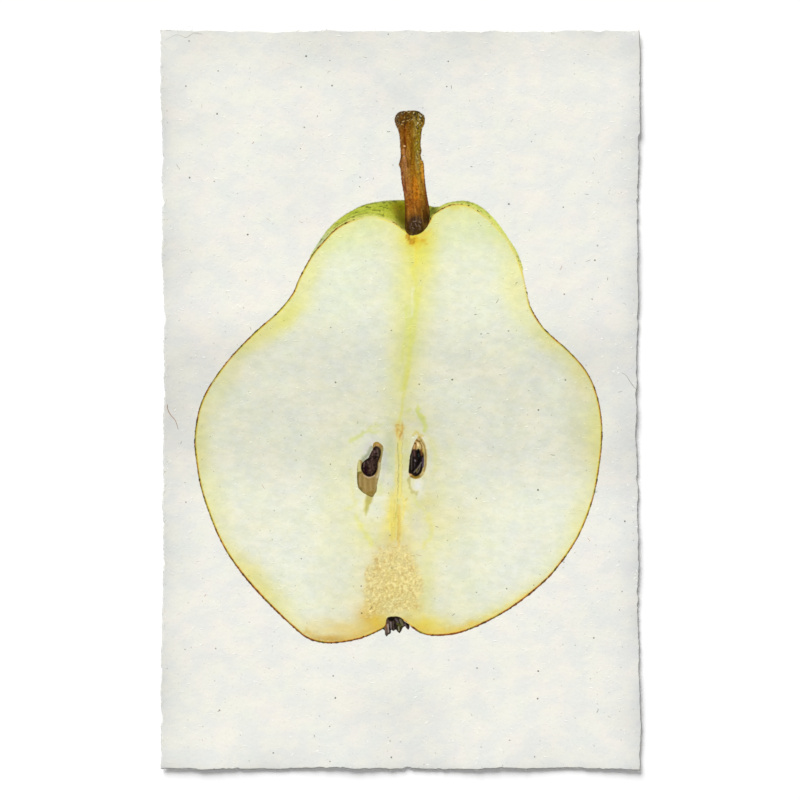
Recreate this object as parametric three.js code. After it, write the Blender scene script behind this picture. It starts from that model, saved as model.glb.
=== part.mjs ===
// A sheet of handmade paper with four deckle edges, which carries a printed picture of a halved pear.
// The picture is ink in the paper, so the object is one piece: a thin, closed, slightly cockled sheet.
// Millimetres, +Z up. The sheet lies on its back: +X is the picture's right, +Y is its top (the pear's
// stem end), +Z leaves the printed face. The origin is the middle of the back, on the resting surface.

import * as THREE from "three";

// Driving dimensions.
const SHEET_WIDTH = 496; // across the widest of the left and right edges
const SHEET_LENGTH = 763; // across the widest of the top and bottom edges
const THICKNESS = 0.45; // of the pulp away from the edges
const EDGE_THICKNESS = 0.15; // where the pulp feathers out
const FEATHER_WIDTH = 18; // margin in which the pulp thins
const CURL_HEIGHT = 4.5; // mean rise of a free edge above the flat middle
const CURL_WIDTH = 64; // margin that curls up
const COCKLE_SHARE = 0.22; // how much the rise varies along an edge
const WAIST = 3; // how far the long edges bow inwards halfway
const DECKLE_DEPTH = 2.4; // deepest hollow of the deckle's waves

// Waves along an edge: length in millimetres and share of the depth. The shares add up to 1.
const DECKLE_WAVES = [
  { length: 214, share: 0.5 },
  { length: 86, share: 0.3 },
  { length: 41, share: 0.2 },
];
const COCKLE_LENGTH = 148;

// The start of the waves on each edge, in radians, so that no two edges match.
const EDGE_START = { left: 0.4, right: 2.1, bottom: 3.7, top: 5.2 };

// The grid that carries the shape.
const COLUMNS = 30;
const ROWS = 46;

const halfWidth = SHEET_WIDTH / 2;
const halfLength = SHEET_LENGTH / 2;

function clamp01(t) {
  return Math.min(1, Math.max(0, t));
}

// How far the deckle lies inside the straight edge, at a distance along it.
function deckleInset(along, start) {
  let wave = 0;
  DECKLE_WAVES.forEach(({ length, share }, i) => {
    wave += share * Math.sin((2 * Math.PI * along) / length + start * (i + 1));
  });
  return (DECKLE_DEPTH * (1 + wave)) / 2;
}

// How far the long edges bow inwards, largest halfway along them.
function waistInset(y) {
  const v = y / halfLength;
  return WAIST * (1 - v * v) ** 2;
}

// The rise of one edge's curl, from 0 where the sheet lies flat to about CURL_HEIGHT at the edge.
function curlRise(distance, along, start) {
  const cockle = 1 + COCKLE_SHARE * Math.sin((2 * Math.PI * along) / COCKLE_LENGTH + start);
  return CURL_HEIGHT * cockle * clamp01(1 - distance / CURL_WIDTH) ** 2.5;
}

// The height of the back above the resting surface, from a point of the flat, straight-edged sheet.
function backHeight(x, y) {
  const sideways = curlRise(halfWidth - Math.abs(x), y, x < 0 ? EDGE_START.left : EDGE_START.right);
  const endways = curlRise(halfLength - Math.abs(y), x, y < 0 ? EDGE_START.bottom : EDGE_START.top);
  return sideways + endways - (sideways * endways) / (CURL_HEIGHT * (1 + COCKLE_SHARE));
}

// The pulp's thickness at a point of the flat sheet.
function pulpThickness(x, y) {
  const distance = Math.min(halfWidth - Math.abs(x), halfLength - Math.abs(y));
  return EDGE_THICKNESS + (THICKNESS - EDGE_THICKNESS) * Math.sqrt(clamp01(distance / FEATHER_WIDTH));
}

// A flat board of the sheet's size, then each corner of its grid is moved to the deckle and the cockle.
function makeSheet() {
  const geometry = new THREE.BoxGeometry(SHEET_WIDTH, SHEET_LENGTH, THICKNESS, COLUMNS, ROWS, 1);
  const position = geometry.getAttribute("position");
  for (let i = 0; i < position.count; i++) {
    const x = position.getX(i);
    const y = position.getY(i);
    const sideInset = waistInset(y) + deckleInset(y, x < 0 ? EDGE_START.left : EDGE_START.right);
    const endInset = deckleInset(x, y < 0 ? EDGE_START.bottom : EDGE_START.top);
    const above = position.getZ(i) > 0 ? pulpThickness(x, y) : 0;
    position.setXYZ(
      i,
      x * (1 - sideInset / halfWidth),
      y * (1 - endInset / halfLength),
      backHeight(x, y) + above,
    );
  }
  geometry.computeBoundingBox();
  const middle = geometry.boundingBox.getCenter(new THREE.Vector3());
  geometry.translate(-middle.x, -middle.y, -geometry.boundingBox.min.z);
  geometry.computeVertexNormals();
  return geometry;
}

const paper = new THREE.MeshStandardMaterial({ color: 0xeeeee5, roughness: 0.9, metalness: 0 });

const sheet = new THREE.Mesh(makeSheet(), paper);
sheet.name = "printed_sheet";

const print = new THREE.Group();
print.add(sheet);

export default print;
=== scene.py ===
"""The looks of a printed sheet of handmade paper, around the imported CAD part.

The sheet is one closed mesh with deckle edges, curled margins and lumpy pulp. A halved pear is printed
on it. Outlines are curves through a few points, soft colours are laid on as dabs and strokes of ink, and
the material's nodes add the crisp edges, the grain and the paper's own specks and fibres.
Lengths are millimetres on the sheet, and become metres when a mesh is made.
"""

import math
import random

import bmesh
import bpy
import numpy as np
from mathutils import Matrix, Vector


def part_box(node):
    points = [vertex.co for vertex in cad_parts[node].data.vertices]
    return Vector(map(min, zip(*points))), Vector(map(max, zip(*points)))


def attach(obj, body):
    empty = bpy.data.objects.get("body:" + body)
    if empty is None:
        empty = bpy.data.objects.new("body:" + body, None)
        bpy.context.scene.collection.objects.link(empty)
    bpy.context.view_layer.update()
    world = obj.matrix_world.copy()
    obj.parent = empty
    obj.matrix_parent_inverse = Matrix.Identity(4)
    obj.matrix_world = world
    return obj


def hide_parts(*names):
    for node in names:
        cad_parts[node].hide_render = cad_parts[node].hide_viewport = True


MM = 0.001

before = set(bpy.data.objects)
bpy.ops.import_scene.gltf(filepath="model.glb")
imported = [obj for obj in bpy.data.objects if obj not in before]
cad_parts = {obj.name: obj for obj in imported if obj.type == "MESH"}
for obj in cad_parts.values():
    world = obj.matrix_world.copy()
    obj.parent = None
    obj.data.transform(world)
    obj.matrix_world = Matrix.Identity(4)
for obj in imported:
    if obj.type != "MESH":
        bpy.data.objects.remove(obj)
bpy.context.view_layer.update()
low, high = (np.array(corner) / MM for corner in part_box("printed_sheet"))

# ---------------------------------------------------------------- the sheet's shape, as the CAD part has it

THICKNESS = 0.45
EDGE_THICKNESS = 0.15
FEATHER_WIDTH = 18
CURL_WIDTH = 64
CURL_POWER = 2.5
COCKLE_SHARE = 0.22
COCKLE_LENGTH = 148
WAIST = 3
DECKLE_DEPTH = 2.4
DECKLE_WAVES = ((214, 0.5), (86, 0.3), (41, 0.2))  # length and share of the depth
LEFT, RIGHT, BOTTOM, TOP = 0.4, 2.1, 3.7, 5.2  # where each edge's waves start, in radians
TRIM = 0.45  # how far the deckle keeps inside the straight-edged sheet

CURL_HEIGHT = (high[2] - low[2] - EDGE_THICKNESS) / (1 + COCKLE_SHARE)
CENTRE = (low + high)[:2] / 2
HALF = (high - low)[:2] / 2 + TRIM
NIBBLE_REACH = 9.0  # how far in from an edge its fine bites are felt
NIBBLES = ((7, 0.55), (3.1, 0.4), (1.5, 0.3))  # sizes and depths of an edge's small waves
NIBBLE_PATCH = 40  # they are stronger in some stretches of about this length
BITE_SPACING, BITE_RARITY, BITE_DEPTH = 11, 0.45, 4.0
SWELL_HEIGHT, SWELL_LENGTH, SWELL_MARGIN = 0.22, 52, 60  # low swells, which fade out at the margins
LIP = 0.8  # how far in from the edge the two faces part

BACK_CELLS = (62, 96)  # the back's coarsest cells across and along the sheet, about 8 mm ones
BACK_MARGINS = (14, 6, 1.5)  # how far in from the edges its cells are 4, then 2, then 1 mm ones
FRONT_CELLS = (124, 192)  # the printed face's coarsest cells, about 4 mm ones
FRONT_MARGINS = (2.6, 0.9)  # a scale for how far round a line its cells are 2 mm, then 1 mm ones
FINEST_MARGIN = 1.2  # how far round the dark things its cells are 0.5 mm ones

# ---------------------------------------------------------------- smooth noise and curves, with numpy

NOISE_CELLS = 128  # how many lumps of noise lie side by side before it repeats


def cloud(x, y, size, seed):
    """Smooth noise between -1 and 1 whose lumps are about size across."""
    table = np.random.RandomState(seed).uniform(-1, 1, (NOISE_CELLS, NOISE_CELLS))
    u, v = np.asarray(x) / size + 64.37, np.asarray(y) / size + 64.71
    i, j = np.floor(u).astype(int), np.floor(v).astype(int)
    s, t = u - i, v - j
    s, t = s * s * (3 - 2 * s), t * t * (3 - 2 * t)
    i, j, i1, j1 = (k % NOISE_CELLS for k in (i, j, i + 1, j + 1))
    near = table[i, j] * (1 - s) + table[i1, j] * s
    far = table[i, j1] * (1 - s) + table[i1, j1] * s
    return near * (1 - t) + far * t


def fade(value, start, end):
    """A smooth step: 0 up to start, 1 from end on."""
    t = np.clip((value - start) / (end - start), 0, 1)
    return t * t * (3 - 2 * t)


def curve(points, closed=False, pieces=8):
    """A smooth line through the points (a Catmull-Rom spline), as an array of places along it."""
    p = np.array(points, float)
    if closed:
        p = np.vstack((p[-1:], p, p[:2]))
    else:
        p = np.vstack((2 * p[0] - p[1], p, 2 * p[-1] - p[-2]))
    t = np.linspace(0, 1, pieces, endpoint=False)[:, None]
    spans = []
    for a, b, c, d in zip(p, p[1:], p[2:], p[3:]):
        bend, twist = 2 * a - 5 * b + 4 * c - d, 3 * b - a - 3 * c + d
        spans.append(0.5 * (2 * b + (c - a) * t + bend * t**2 + twist * t**3))
    if not closed:
        spans.append(p[-2:-1])
    return np.vstack(spans)


FAR = 30.0  # distances are only worked out this near a line


def distance(x, y, line, far=FAR):
    """The distance from each point to the line, at most far."""
    near = np.full(len(x), far)
    lowest, highest = line.min(0) - far, line.max(0) + far
    at = np.nonzero((x > lowest[0]) & (x < highest[0]) & (y > lowest[1]) & (y < highest[1]))[0]
    px, py, best = x[at], y[at], near[at] ** 2
    for (ax, ay), (bx, by) in zip(line, line[1:]):
        dx, dy = bx - ax, by - ay
        t = np.clip(((px - ax) * dx + (py - ay) * dy) / max(dx * dx + dy * dy, 1e-9), 0, 1)
        best = np.minimum(best, (px - ax - t * dx) ** 2 + (py - ay - t * dy) ** 2)
    near[at] = np.sqrt(best)
    return near


def depth_inside(x, y, outline):
    """The distance to a closed outline: above 0 inside it and below 0 outside it."""
    ring = np.vstack((outline, outline[:1]))
    inside = np.zeros(len(x), bool)
    for (ax, ay), (bx, by) in zip(ring, ring[1:]):
        if ay != by:
            crosses = (ay > y) != (by > y)
            inside ^= crosses & (x < ax + (y - ay) * (bx - ax) / (by - ay))
    return np.where(inside, 1, -1) * distance(x, y, ring)


# ---------------------------------------------------------------- the picture's outlines

NOTCH = [(12, 172)]  # hidden under the stem's foot
LEFT_RIM = [
    (4, 175), (-3, 180), (-12, 185), (-30, 189.4), (-50, 185.2), (-66.8, 176.4), (-80, 163), (-92, 148.5),
    (-105, 125), (-112, 109), (-127, 90.5), (-148, 72), (-170, 50), (-185.4, 31.6), (-200, 9.5),
    (-208.4, -11), (-212.5, -36), (-212, -56), (-207, -88), (-198, -117), (-187.4, -143), (-175, -164.6),
    (-156.4, -189), (-134, -213), (-111.5, -234.4), (-96, -246.4), (-79, -251), (-62, -250.5),
    (-40, -246), (-18, -236),
]  # fmt: skip
EYE = [(-13, -230), (-4, -227), (4, -229)]  # hidden behind the dried calyx
RIGHT_RIM = [
    (11, -234.5), (21, -241), (34, -243.5), (59, -241), (88, -229.4), (117.4, -212.4), (147, -188.8),
    (163.6, -170.4), (179, -148.4), (190, -126), (199.6, -97), (205.8, -60.5), (207.5, -38),
    (207, -21), (203.5, 0), (196.5, 20), (185.5, 37), (170, 53), (153.5, 67.5), (144, 78), (134, 95),
    (129.5, 113), (125.5, 132),
    (118.4, 150.6), (109.5, 166), (94, 183.5), (81, 194), (69, 200.5), (57, 201.8), (46, 199), (33, 191),
    (27, 181),
]  # fmt: skip
FLESH = curve(NOTCH + LEFT_RIM + EYE + RIGHT_RIM, closed=True)

# The skin that shows behind the cut face, over each shoulder. Its lower side is hidden by the flesh.
LEFT_SKIN = curve(
    [
        (-94, 146), (-88, 158), (-80, 170), (-72, 179.5), (-60, 189.5), (-50, 195.5), (-40, 200.5),
        (-28, 203.5), (-14, 205.5), (4, 206), (14, 204), (14, 176), (0, 172), (-40, 175), (-80, 150),
    ],
    closed=True,
)  # fmt: skip
RIGHT_SKIN = curve(
    [
        (16, 203), (29, 200), (38, 199), (46, 202.4), (55, 204.5), (65, 205.3), (75, 203), (85, 197.4),
        (96, 187), (104, 177), (112, 165), (120.5, 151), (126, 133), (118, 130), (90, 170), (40, 180),
        (22, 176),
    ],
    closed=True,
)  # fmt: skip

STEM = curve(
    [
        (9, 169.5), (5, 173.5), (4, 181), (4, 199), (3, 211), (1, 222), (-0.2, 233), (-0.8, 239),
        (-2.4, 241.8), (-1.4, 246), (-0.4, 252), (-1, 264), (-1.8, 273), (-3.4, 279), (-5.8, 284),
        (-6.6, 289.5), (-4.6, 294.5), (-0.5, 297.3), (6, 298), (13, 298.4), (18, 297.6), (21, 295.4),
        (24, 293), (24.8, 288.5), (24, 283.5), (21.8, 279), (20.8, 271), (20.4, 262), (21.4, 257),
        (20.6, 252.5), (21.4, 248), (23.6, 243.5), (24.3, 232), (25.6, 220), (27.6, 207), (29.6, 196),
        (29.8, 187), (28, 180), (24.5, 175), (20, 171.3), (14.5, 169.6),
    ],
    closed=True,
    pieces=4,
)  # fmt: skip
CALYX = curve(
    [
        (-14, -224.9), (-8, -223.9), (-3, -224), (1, -226), (4, -229.4), (7, -231), (9, -233.2),
        (8.2, -237.6), (6.2, -236.8), (4.4, -234.4), (2, -235.4), (0.2, -239.2), (-1.6, -241.2),
        (-3.8, -239.4), (-5.4, -237.6), (-8, -239), (-10, -237.8), (-10.8, -241.4), (-13, -242.6),
        (-15, -244.6), (-16.6, -241.6), (-17, -238.4), (-19.2, -236.4), (-16.6, -234.4), (-15.6, -229.6),
    ],
    closed=True,
    pieces=3,
)  # fmt: skip
LEFT_SEED = curve(
    [
        (-27, -48.6), (-23, -49.2), (-20.6, -53), (-21.4, -59), (-23.8, -65), (-24.2, -71), (-26.4, -76.4),
        (-30.4, -79.4), (-35, -79.2), (-39, -76), (-41.2, -71), (-40.2, -66), (-37, -62.4), (-33.4, -59.4),
        (-31.2, -54.6),
    ],
    closed=True,
    pieces=5,
)  # fmt: skip
LEFT_CELL = curve(
    [
        (-28.6, -45.4), (-25.4, -43.6), (-22, -44.8), (-18.8, -48), (-18.2, -52), (-19.2, -58),
        (-20.4, -65), (-21.2, -72), (-22.8, -80), (-24.6, -88), (-25.2, -94), (-27.4, -98),
        (-29.6, -100.6), (-34, -99.2), (-39.6, -95.8), (-44, -91), (-45.2, -84), (-45.4, -76),
        (-45, -69), (-44, -63.4), (-41.6, -62.4), (-38.6, -65), (-34, -62), (-31, -57), (-29.4, -51),
    ],
    closed=True,
    pieces=5,
)  # fmt: skip
RIGHT_SEED = curve(
    [
        (19.4, -37.4), (23, -42), (26, -49), (27.2, -57), (26.8, -65.6), (25, -74), (20.8, -80.4),
        (15, -82.2), (10, -80.4), (8, -76), (8.4, -66), (9.6, -57), (11.6, -50), (14, -44), (16.6, -39.4),
    ],
    closed=True,
    pieces=5,
)  # fmt: skip
DARK_THINGS = (STEM, CALYX, LEFT_CELL, LEFT_SEED, RIGHT_SEED)
STEM_FLOOR = 160  # the stem is the only dark thing over this height
CALYX_CEILING = -215  # and the calyx the only one under this

# Boxes round parts of the picture: left, right, bottom and top.
PICTURE_BOX = (-200, 200, -240, 300)
CORE_BOXES = ((-59, 48, -150, 202), (-13, 24, -150, -8))  # for 2 mm cells, then for 1 mm ones
GRIT_BOX = (-43, 30, -248, -148)
SKIN_BOX = (-92, 122, 150, 208)
LEFT_CELL_BOX = (-60, 0, -130, -20)
RIGHT_CELL_BOX = (0, 60, -130, -20)


def in_box(x, y, left, right, bottom, top):
    return (x > left) & (x < right) & (y > bottom) & (y < top)


def depth_in_dark(x, y):
    return np.max([depth_inside(x, y, outline) for outline in DARK_THINGS], axis=0)


def depth_in_skin(x, y):
    return np.maximum(depth_inside(x, y, LEFT_SKIN), depth_inside(x, y, RIGHT_SKIN))


# ---------------------------------------------------------------- meshes of the sheet


def deckle(along, start):
    """The inset of an edge's long waves."""
    wave = np.zeros(len(along))
    for i, (size, share) in enumerate(DECKLE_WAVES):
        wave += share * np.sin(2 * math.pi * along / size + start * (i + 1))
    return DECKLE_DEPTH * (1 + wave) / 2


def nibbles(along, start):
    """The inset of an edge's small bites and tufts."""
    seed = int(start * 10)
    ragged = np.zeros(len(along))
    for i, (size, depth) in enumerate(NIBBLES):
        ragged += depth * cloud(along, 0, size, seed + i)
    bite = np.clip(cloud(along, 0, BITE_SPACING, seed + 3) - BITE_RARITY, 0, 1) * BITE_DEPTH
    return ragged * (0.45 + 0.45 * (cloud(along, 0, NIBBLE_PATCH, seed + 4) + 1)) + bite


def curl(gap, along, start):
    """The rise of one edge's curl, at a gap in from the edge."""
    cockle = 1 + COCKLE_SHARE * np.sin(2 * math.pi * along / COCKLE_LENGTH + start)
    return CURL_HEIGHT * cockle * np.clip(1 - gap / CURL_WIDTH, 0, 1) ** CURL_POWER


def edge_gap(x, y):
    return np.minimum(HALF[0] - np.abs(x), HALF[1] - np.abs(y))


def back_face(x, y):
    """The deckled, curled sheet's back, for points of the flat, straight-edged one."""
    side_start, end_start = np.where(x < 0, LEFT, RIGHT), np.where(y < 0, BOTTOM, TOP)
    side_gap, end_gap = HALF[0] - np.abs(x), HALF[1] - np.abs(y)
    side_inset, end_inset = WAIST * (1 - (y / HALF[1]) ** 2) ** 2, np.zeros(len(x))
    side_fine, end_fine = np.zeros(len(x)), np.zeros(len(x))
    for start in (LEFT, RIGHT, BOTTOM, TOP):
        sides, ends = side_start == start, end_start == start
        side_inset[sides] += deckle(y[sides], start)
        side_fine[sides] = nibbles(y[sides], start)
        end_inset[ends] += deckle(x[ends], start)
        end_fine[ends] = nibbles(x[ends], start)
    side_reach = np.clip(1 - side_gap / NIBBLE_REACH, 0, 1) ** 2
    end_reach = np.clip(1 - end_gap / NIBBLE_REACH, 0, 1) ** 2
    px = x * (1 - side_inset / HALF[0]) - np.sign(x) * side_fine * side_reach
    py = y * (1 - end_inset / HALF[1]) - np.sign(y) * end_fine * end_reach
    sideways, endways = curl(side_gap, y, side_start), curl(end_gap, x, end_start)
    height = sideways + endways - sideways * endways / (CURL_HEIGHT * (1 + COCKLE_SHARE))
    swells = SWELL_HEIGHT * (1 + cloud(x, y, SWELL_LENGTH, 31))
    return px, py, height + swells * fade(np.minimum(side_gap, end_gap), 0, SWELL_MARGIN)


def printed_face(x, y):
    """The printed face above the back: the pulp's thickness, with its lumps, feathered to nothing."""
    px, py, back = back_face(x, y)
    gap = edge_gap(x, y)
    feather = np.sqrt(np.clip(gap / FEATHER_WIDTH, 0, 1))
    lumps = 0.05 * cloud(x, y, 13, 32) + 0.035 * cloud(x, y * 1.6, 5, 33)
    pulp = EDGE_THICKNESS + (THICKNESS - EDGE_THICKNESS + lumps) * feather
    return px, py, back + pulp * fade(gap, 0, LIP)


def flat_grid(cells):
    """A flat grid of the straight-edged sheet, in millimetres."""
    bm = bmesh.new()
    bmesh.ops.create_grid(bm, x_segments=cells[0], y_segments=cells[1], size=1)
    for v in bm.verts:
        v.co.x *= HALF[0]
        v.co.y *= HALF[1]
    return bm


def coordinates(bm):
    co = np.array([v.co[:] for v in bm.verts])
    return co[:, 0], co[:, 1]


def front_zones(x, y, level):
    """Where the printed face needs finer cells: 2, then 1, then 0.5 mm ones."""
    dark = depth_in_dark(x, y)
    if level == len(FRONT_MARGINS):
        return dark > -FINEST_MARGIN
    margin = FRONT_MARGINS[level]
    rim = distance(x, y, np.vstack((FLESH, FLESH[:1])), 12) < 2.4 * margin
    skin = in_box(x, y, *SKIN_BOX) & (depth_inside(x, y, FLESH) < 1) & (depth_in_skin(x, y) > -margin)
    inner = in_box(x, y, *CORE_BOXES[level]) | in_box(x, y, *GRIT_BOX)
    return rim | inner | skin | (dark > -3 * margin) | (edge_gap(x, y) < 2.4 * margin)


def back_zones(x, y, level):
    """Where the back needs finer cells: 4, 2, then 1 mm ones, so that its rim matches the face's."""
    return edge_gap(x, y) < BACK_MARGINS[level]


def cut_through_corners(bm):
    """Cuts each corner's face inwards from its corner, so that no triangle lies wholly on the rim."""
    for v in [v for v in bm.verts if len(v.link_faces) == 1]:
        loop = v.link_loops[0]
        if len(loop.face.verts) == 4:
            bmesh.utils.face_split(loop.face, v, loop.link_loop_next.link_loop_next.vert)


def mesh_of_sheet():
    """The sheet's two sides, whose rims have the same points."""
    sides = []
    for cells, zones, shape in (
        (FRONT_CELLS, front_zones, printed_face),
        (BACK_CELLS, back_zones, back_face),
    ):
        bm = flat_grid(cells)
        for level in (0, 1, 2):
            wanted = zones(*coordinates(bm), level)
            bm.verts.index_update()
            edges = [e for e in bm.edges if all(wanted[v.index] for v in e.verts)]
            bmesh.ops.subdivide_edges(bm, edges=edges, cuts=1, use_grid_fill=True, use_single_edge=True)
        bmesh.ops.triangulate(bm, faces=[f for f in bm.faces if len(f.verts) > 4])
        cut_through_corners(bm)
        for v, co in zip(bm.verts, np.stack(shape(*coordinates(bm)), 1)):
            v.co = co
        sides.append(bm)
    bmesh.ops.reverse_faces(sides[1], faces=sides[1].faces[:])
    return sides


# ---------------------------------------------------------------- colours, as they look on the paper (sRGB)

PAPER = (238, 237.5, 229)


def linear(colour):
    """sRGB values from 0 to 255 as linear ones from 0 to 1."""
    c = np.asarray(colour, float) / 255
    return np.where(c <= 0.04045, c / 12.92, ((c + 0.055) / 1.055) ** 2.4)


def patch(x, y, centre, radii):
    """A soft oval patch: 1 at its centre, and little more than a third at the radii."""
    u, v = (x - centre[0]) / radii[0], (y - centre[1]) / radii[1]
    return np.exp(-u * u - v * v)


def spots(x, y, size, seed, start=0.4, end=0.7):
    """Scattered spots about size across: 1 in a spot and 0 between them."""
    return fade(cloud(x, y, size, seed), start, end)


class Layer:
    """A layer of colour: one sRGB value for each point of the sheet."""

    def __init__(self, x, y, colour):
        self.x, self.y = x, y
        self.rgb = np.tile(np.array(colour, float), (len(x), 1))

    def blend(self, colour, amount):
        self.rgb += (np.array(colour, float) - self.rgb) * np.reshape(amount, (-1, 1))

    def dab(self, centre, radii, colour, strength=1, turn=0):
        """A soft oval patch of colour. turn is in degrees."""
        c, s = math.cos(math.radians(turn)), math.sin(math.radians(turn))
        dx, dy = self.x - centre[0], self.y - centre[1]
        self.blend(colour, strength * patch(dx * c + dy * s, dy * c - dx * s, (0, 0), radii))

    def stroke(self, path, width, colour, strength=1, soft=1.0):
        """A brush stroke along a smooth path, whose edge fades over soft."""
        line = curve(path, pieces=6)
        gap = distance(self.x, self.y, line, width / 2 + soft)
        self.blend(colour, strength * (1 - fade(gap, max(width / 2 - soft / 2, 0), width / 2 + soft / 2)))

    def paint(self, dabs=(), strokes=()):
        for dab in dabs:
            self.dab(*dab)
        for stroke in strokes:
            self.stroke(*stroke)

    def ink(self):
        """How much of each primary colour the ink lets the paper give back."""
        return linear(np.clip(self.rgb, 0, 255)) / linear(PAPER)


# Clouds in the pulp: centre, radii, colour and strength.
PULP_DABS = (
    ((0, 362), (110, 26), (230, 230, 224), 0.35),
    ((0, 318), (46, 34), (226, 227, 222), 0.85),
    ((0, -322), (50, 34), (226, 227, 220), 0.85),
    ((0, -372), (240, 26), (224, 224, 218), 0.85),
    ((225, 355), (40, 60), (246, 246, 238), 0.5),
    ((-150, 300), (55, 50), (243, 241, 231), 0.4),
    ((150, 290), (60, 55), (241, 239.5, 231), 0.4),
    ((-120, -300), (90, 50), (241, 240, 231), 0.4),
    ((120, -300), (90, 50), (241, 240, 231), 0.4),
    ((-150, 120), (40, 35), (242, 240.5, 231), 0.6),
    ((150, 120), (40, 35), (243, 241.5, 231), 0.7),
)


def paint_pulp_and_edge_shade(x, y):
    """The bare paper's own tone: creamy, with greyer clouds and a greyer belt across the middle. Painted
    shade greys the edges, and a painted lighter band lies just inside the top edge."""
    pulp = Layer(x, y, (238.5, 238.5, 231))
    belt = fade(y, -112, -48) * (1 - fade(y, 40, 105))
    pulp.blend((224, 223.5, 216), belt)
    pulp.paint(PULP_DABS)
    cool = 0.5 * cloud(x, y, 46, 41) + 0.3 * cloud(x, y, 21, 42) + 0.2 * cloud(x, y, 9, 43)
    pulp.blend((228, 229, 223), np.clip(cool, 0, 1) * 0.5)
    warm = 0.5 * cloud(x, y, 38, 44) + 0.3 * cloud(x, y, 17, 45) + 0.2 * cloud(x, y, 8, 46)
    pulp.blend((246, 242, 229), np.clip(warm, 0, 1) * 0.45)
    blush = 0.6 * cloud(x, y, 22, 48) + 0.4 * cloud(x, y, 9, 49)
    pulp.blend((243, 233, 226), np.clip(blush, 0, 1) * 0.35)
    pulp.blend((230, 238, 224), np.clip(-blush, 0, 1) * 0.35)
    uneven = 1 + 0.3 * cloud(x, y, 26, 47)
    # Painted shade along the left, right and bottom margins and a thin painted dark line along the top
    # edge; the lighter band just inside the top edge is painted light.
    thin = (  # the distance from an edge, how far in the painted tone reaches, how much, and its colour
        (HALF[0] - x, 20, 0.95, (209, 210, 208)),
        (HALF[0] + x, 9, 0.8, (219, 220, 217)),
        (HALF[1] + y, 20, 0.85, (217, 218, 213)),
        (HALF[1] + y, 4, 0.5, (196, 196, 192)),
        (HALF[1] - y, 16, 0.75, (246, 246, 240)),
        (HALF[1] - y, 1.5, 0.5, (212, 214, 216)),
    )
    for gap, reach, strength, colour in thin:
        pulp.blend(colour, strength * np.clip(uneven * np.exp(-np.maximum(gap, 0) / reach), 0, 1))
    return pulp


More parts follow.
